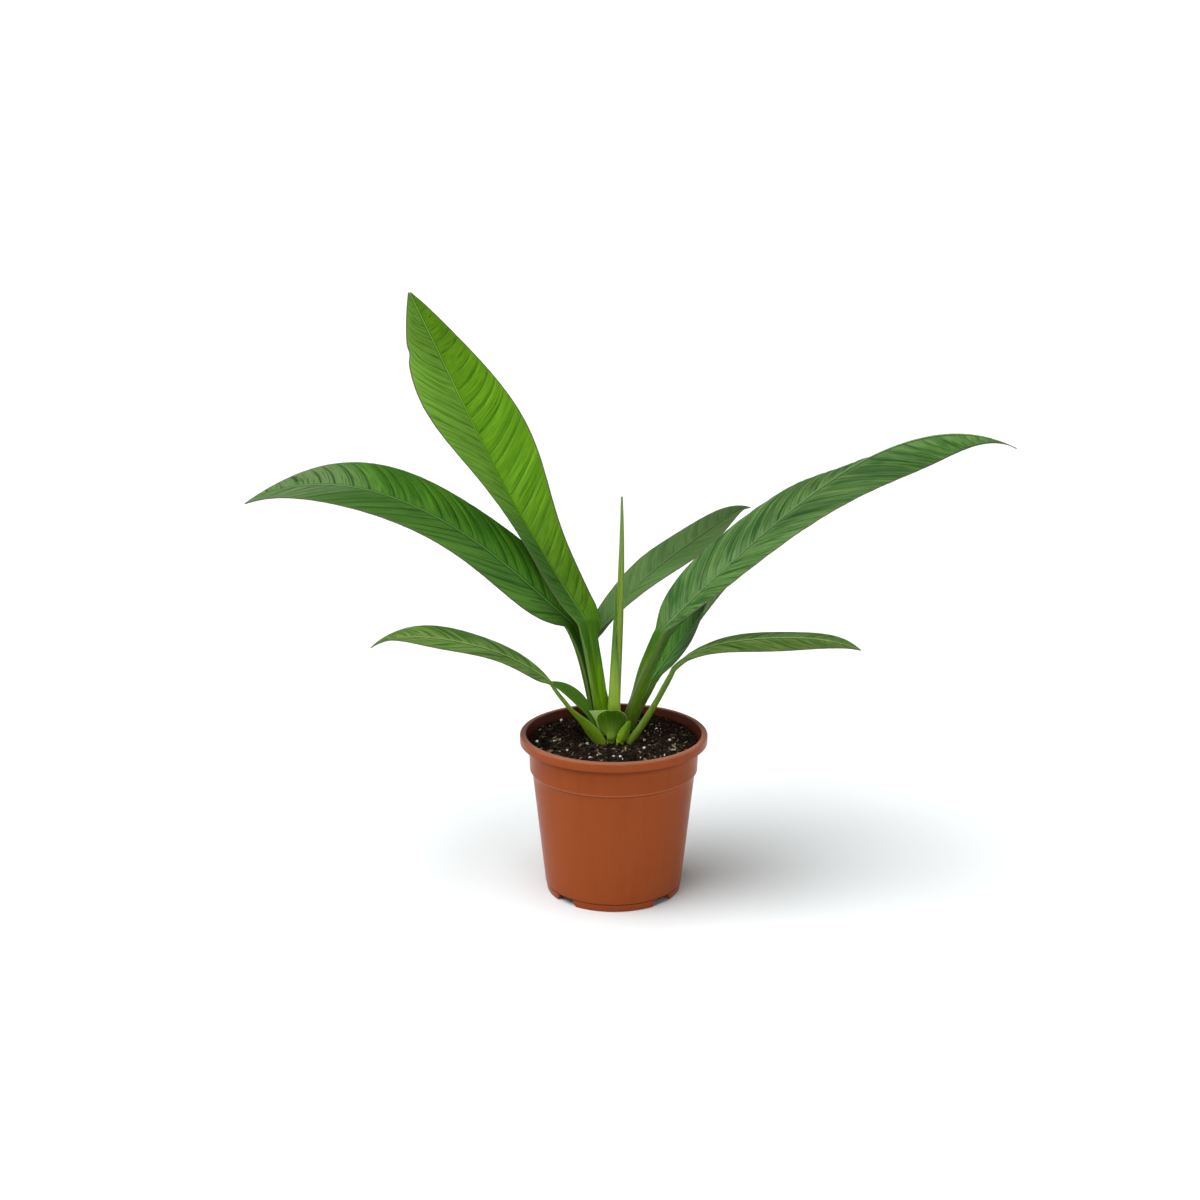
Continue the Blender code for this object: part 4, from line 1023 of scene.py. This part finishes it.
def sheath_material(name, low, high, edge_colour):
    """Sheaths and scales at the crown."""
    k = new_material(name, 0.15)
    streak = k.swing(k.noise(70.0, 3.0, 0.6, (14.0, 14.0, 1.0)), 0.7)
    share = k.math("ADD", k.smooth(k.attribute("along"), -0.4, 0.9), streak)
    body = k.mix(share, low, high)
    body = k.mix(k.smooth(k.attribute("edge"), 0.0, 0.8, 0.8, 0.0), body, edge_colour)
    roughness = k.swing(k.noise(300.0), 0.15, 0.415)
    return k.surface(body, roughness, k.noise(600.0), 0.0001, 0.6)


LOOKS = {
    "leaf_upright": LeafLook(
        light=(0.135, 0.31, 0.01), dark=(0.072, 0.2, 0.006), deep=(0.02, 0.075, 0.002),
        rib=(0.17, 0.36, 0.06), under=(0.09, 0.2, 0.03), stalk_low=(0.19, 0.38, 0.006),
        stalk_high=(0.052, 0.15, 0.01), groove=0.85, groove_width=0.07, rib_width=0.55,
        shade=(0.07, 0.19, 0.035), shade_end=0.4, left=(0.15, 0.3, 0.05), left_lines=2.0,
        bright=(0.62, 1.05, 0.78), turns=(0.1, 0.42, 0.68, 0.84)),
    "leaf_arch_left": LeafLook(
        light=(0.074, 0.205, 0.012), dark=(0.024, 0.095, 0.007), deep=(0.004, 0.03, 0.003),
        rib=(0.1, 0.23, 0.05), stalk_low=(0.055, 0.14, 0.006), stalk_high=(0.035, 0.1, 0.006),
        groove=0.85, groove_width=0.13, roughness=0.6, gloss=0.04, fine=1.9, midrib_sheen=0.15,
        left=(0.062, 0.135, 0.034), tip=(0.135, 0.19, 0.095), bright=(1.15, 0.92, 1.0),
        turns=(0.2, 0.4, 0.56, 0.74)),
    "leaf_arch_right": LeafLook(
        light=(0.098, 0.19, 0.045), dark=(0.018, 0.072, 0.01), deep=(0.006, 0.032, 0.005),
        rib=(0.14, 0.235, 0.085), stalk_low=(0.11, 0.22, 0.006), stalk_high=(0.04, 0.115, 0.006),
        groove_width=0.13, gloss=0.1, fine=3.0, midrib_sheen=0.25, bright=(1.15, 0.96, 1.42),
        turns=(0.15, 0.35, 0.55, 0.75)),
    "leaf_behind_right": LeafLook(
        light=(0.06, 0.16, 0.02), dark=(0.028, 0.095, 0.01), deep=(0.008, 0.04, 0.005),
        rib=(0.1, 0.21, 0.04), stalk_low=(0.11, 0.22, 0.006), stalk_high=(0.06, 0.15, 0.006),
        groove=0.6, groove_width=0.15, rib_width=0.6, gloss=0.08, bright=(1.45, 0.6, 0.6),
        turns=(0.32, 0.58, 0.66, 0.82)),
    "leaf_back_right": LeafLook(
        light=(0.09, 0.165, 0.045), dark=(0.05, 0.115, 0.028), deep=(0.02, 0.06, 0.012),
        rib=(0.1, 0.19, 0.06), under=(0.075, 0.15, 0.04), stalk_low=(0.08, 0.17, 0.01),
        stalk_high=(0.06, 0.14, 0.01), groove=0.45, groove_width=0.12, rib_width=0.5,
        bright=(1.05, 0.85, 0.66), turns=(0.3, 0.5, 0.5, 0.75)),
    "leaf_low_left": LeafLook(
        light=(0.15, 0.265, 0.05), dark=(0.03, 0.09, 0.01), deep=(0.012, 0.045, 0.004),
        rib=(0.2, 0.31, 0.1), under=(0.08, 0.17, 0.03), stalk_low=(0.17, 0.3, 0.012),
        stalk_high=(0.1, 0.21, 0.01), roughness=0.55, fine=2.6, midrib_sheen=0.2),
    "leaf_low_right": LeafLook(
        light=(0.12, 0.2, 0.04), dark=(0.024, 0.066, 0.008), deep=(0.01, 0.035, 0.004),
        rib=(0.17, 0.27, 0.08), under=(0.08, 0.17, 0.03), stalk_low=(0.14, 0.24, 0.012),
        stalk_high=(0.08, 0.17, 0.01), roughness=0.55, fine=2.6, midrib_sheen=0.2),
}

# Low colour, high colour and margin
SHEATH_LOOKS = {
    "sheath_left": ((0.075, 0.19, 0.006), (0.045, 0.125, 0.012), (0.09, 0.17, 0.04)),
    "crown_sheath": ((0.2, 0.33, 0.03), (0.034, 0.105, 0.001), (0.42, 0.62, 0.08)),
    "scale_left": ((0.1, 0.23, 0.008), (0.38, 0.56, 0.17), (0.42, 0.56, 0.24)),
    "scale_front": ((0.17, 0.3, 0.006), (0.12, 0.25, 0.008), (0.2, 0.32, 0.03)),
}

# Foot, middle, tip and edge colours, and where the foot's colour gives way
SPEAR_LOOK = (
    (0.3, 0.44, 0.05), (0.15, 0.25, 0.015), (0.17, 0.26, 0.06), (0.12, 0.22, 0.01), (0.0, 0.5),
)
WRAP_LOOK = (
    (0.27, 0.42, 0.035), (0.05, 0.15, 0.01), (0.04, 0.12, 0.01), (0.12, 0.24, 0.02),
    (0.18, 0.42),
)

# Darkest and lightest colour, and roughness
GRAIN_LOOKS = {
    "grains": ((0.003, 0.0018, 0.001), (0.04, 0.024, 0.013), 0.9),
    "fibres": ((0.01, 0.006, 0.003), (0.12, 0.08, 0.042), 0.8),
    "chips": ((0.02, 0.013, 0.006), (0.24, 0.18, 0.1), 0.8),
    "perlite": ((0.5, 0.47, 0.4), (0.95, 0.93, 0.88), 0.7),
}

# Painted light and shade lines round the pot: height, reach, strength and colour
POT_LIGHT_AND_SHADE_LINES = (
    # painted highlight along the collar's lower edge
    (BODY_TOP_HEIGHT + 0.9, 0.7, 0.5, (0.42, 0.13, 0.06)),
    # painted shade under the collar's step
    (BODY_TOP_HEIGHT - 0.4, 0.7, 0.6, (0.1, 0.015, 0.004)),
    # painted shade in the groove above the foot
    (BODY_FOOT_HEIGHT - 0.7, 0.6, 0.7, (0.08, 0.012, 0.004)),
)


def pot_material():
    """Terracotta-coloured moulded plastic, with a rim that is partly worn and partly painted
    highlight, painted highlight and shade lines at the collar and the foot, painted shade under the
    lip and painted shade inside.
    """
    k = new_material("pot_fine", 0.06)
    cloud = k.noise(14.0)
    flow = k.noise(22.0, 4.0, 0.6, (7.0, 7.0, 0.5))
    body = k.mix(cloud, (0.255, 0.052, 0.011), (0.3, 0.066, 0.016))
    body = k.mix(k.smooth(flow, 0.45, 0.75, 0.0, 0.25), body, (0.2, 0.036, 0.007))
    place = k.node("SeparateXYZ", {0: k.node("TexCoord").outputs["Object"]})
    high = k.times(place.outputs["Z"], 1 / MM)
    # Painted highlight and shade lines round the pot
    for middle, reach, strength, colour in POT_LIGHT_AND_SHADE_LINES:
        line = k.smooth(k.apart(high, middle), 0.1, reach, strength, 0.0)
        body = k.mix(line, body, colour)
    # Rim top lighter in patches: partly wear, partly a painted highlight
    rim = k.smooth(high, POT_HEIGHT - 1.6, POT_HEIGHT - 0.3, 0.0, 0.75)
    rim = k.times(rim, k.smooth(cloud, 0.3, 0.6, 0.6, 1.0))
    body = k.mix(rim, body, (0.27, 0.115, 0.072))
    # Painted shade on the collar under the lip's overhang
    shaded = k.smooth(high, LIP_FOOT - 0.4, LIP_FOOT - 0.1, 0.6, 0.0)
    shaded = k.times(k.smooth(high, LIP_FOOT - 5.5, LIP_FOOT - 1.8), shaded)
    body = k.mix(shaded, body, (0.09, 0.014, 0.004))
    # Painted shade over the pot's inner wall and floor
    body = k.mix(k.times(k.attribute("inside"), 0.9), body, (0.062, 0.012, 0.006))
    roughness = k.swing(k.noise(90.0, 4.0, 0.6), 0.14, 0.31)
    return k.surface(body, roughness, k.noise(900.0, 3.0, 0.6), 0.00006, 0.5)


def soil_material():
    """Dark peat between the grains."""
    k = new_material("soil_fine", 0.08)
    grain = k.noise(700.0, 5.0, 0.7)
    body = k.mix(k.smooth(grain, 0.35, 0.7), (0.002, 0.0012, 0.0008), (0.016, 0.009, 0.005))
    return k.surface(body, 0.95, grain, 0.0006, 1.0)


def grain_material(name, low, high, roughness):
    """Grains, fibres and perlite: each lump has its own tone."""
    k = new_material(name, 0.12)
    fine = k.noise(1500.0, 3.0, 0.6)
    share = k.math("ADD", k.attribute("tone"), k.swing(fine, 0.5))
    return k.surface(k.mix(share, low, high), roughness, fine, 0.0002, 0.8)


# Stage, in metres

FLOOR_REACH = 14.0
FLOOR_TONES = ((0.842, 0.872, 0.888), (0.857, 0.887, 0.903))
SKY = (0.12, 0.5, 1.05, 0.05)  # from one height to another, and its strength at each
AIM = Vector((-0.02, -0.02, 0.12))
SUN_PLACE = (-0.75, -0.3, 2.2)
SUN_STRENGTH = 4.2
SUN_ANGLE = 64.0
BOX_PLACE = (0.5, -1.9, 1.3)
BOX_POWER = 4.0
BOX_SIZE = 1.2


def add_lamp(name, light, place):
    """Puts a lamp in its place, facing the plant."""
    item = add_object(name, light)
    item.location = place
    item.rotation_euler = (AIM - Vector(place)).to_track_quat("-Z", "Y").to_euler()


def build_stage():
    """Pale floor, soft studio light and the camera."""
    mesh = bpy.data.meshes.new("floor")
    corners = [(-1, -1), (1, -1), (1, 1), (-1, 1)]
    mesh.from_pydata([(x * FLOOR_REACH, y * FLOOR_REACH, 0) for x, y in corners], [], [range(4)])
    floor = add_object("floor", mesh)
    k = new_material("floor", 0.2)
    mesh.materials.append(k.surface(k.mix(k.noise(3.0), *FLOOR_TONES), 0.7))

    sky = Shader(bpy.data.worlds.new("studio"), "Background")
    bpy.context.scene.world = sky.owner
    place = sky.node("SeparateXYZ", {0: sky.node("TexCoord").outputs["Generated"]})
    sky.plug(sky.main.inputs["Strength"], sky.smooth(place.outputs["Z"], *SKY))
    sky.plug(sky.main.inputs["Color"], (1.0, 1.0, 1.0))

    sun = bpy.data.lights.new("key", "SUN")
    sun.energy = SUN_STRENGTH
    sun.angle = math.radians(SUN_ANGLE)
    add_lamp("key", sun, SUN_PLACE)
    box = bpy.data.lights.new("front_box", "AREA")
    box.energy = BOX_POWER
    box.size = BOX_SIZE
    add_lamp("front_box", box, BOX_PLACE)

    data = bpy.data.cameras.new("camera")
    data.lens = LENS
    data.sensor_width = SENSOR
    camera = add_object("camera", data)
    camera.location = CAMERA_PLACE
    camera.rotation_euler = (math.radians(90 - CAMERA_PITCH), 0, 0)
    bpy.context.scene.camera = camera
    bpy.context.scene.view_settings.view_transform = "Standard"


def add(piece, slot, *nodes):
    """Puts a piece on the object's one body."""
    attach(piece, "root")
    if nodes:
        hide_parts(*nodes)


def main():
    """Builds the stage and every piece."""
    build_stage()
    add(build_pot(pot_material()), "pot_plastic", "pot")
    add(build_soil(soil_material()), "soil", "soil")
    looks = {name: grain_material(name, *values) for name, values in GRAIN_LOOKS.items()}
    for kind in LOOSE:
        add(scatter(kind, looks[kind.look]), "soil")
    for leaf in LEAVES:
        slot = "leaf_bright" if leaf.name == "leaf_upright" else "leaf_deep"
        skin = leaf_material(leaf.name + "_skin", LOOKS[leaf.name])
        add(build_leaf(leaf, skin), slot, leaf.name)
    for sheath in SHEATHS:
        skin = sheath_material(sheath.name + "_skin", *SHEATH_LOOKS[sheath.name])
        add(build_leaf(sheath, skin), "sheath_olive", sheath.name)
    add(build_spear(shoot_material("spear_skin", *SPEAR_LOOK)), "spear_pale", "spear")
    wrap = shoot_material("wrap_skin", *WRAP_LOOK)
    add(build_spear_sheath(wrap), "spear_pale", "spear_sheath")


main()
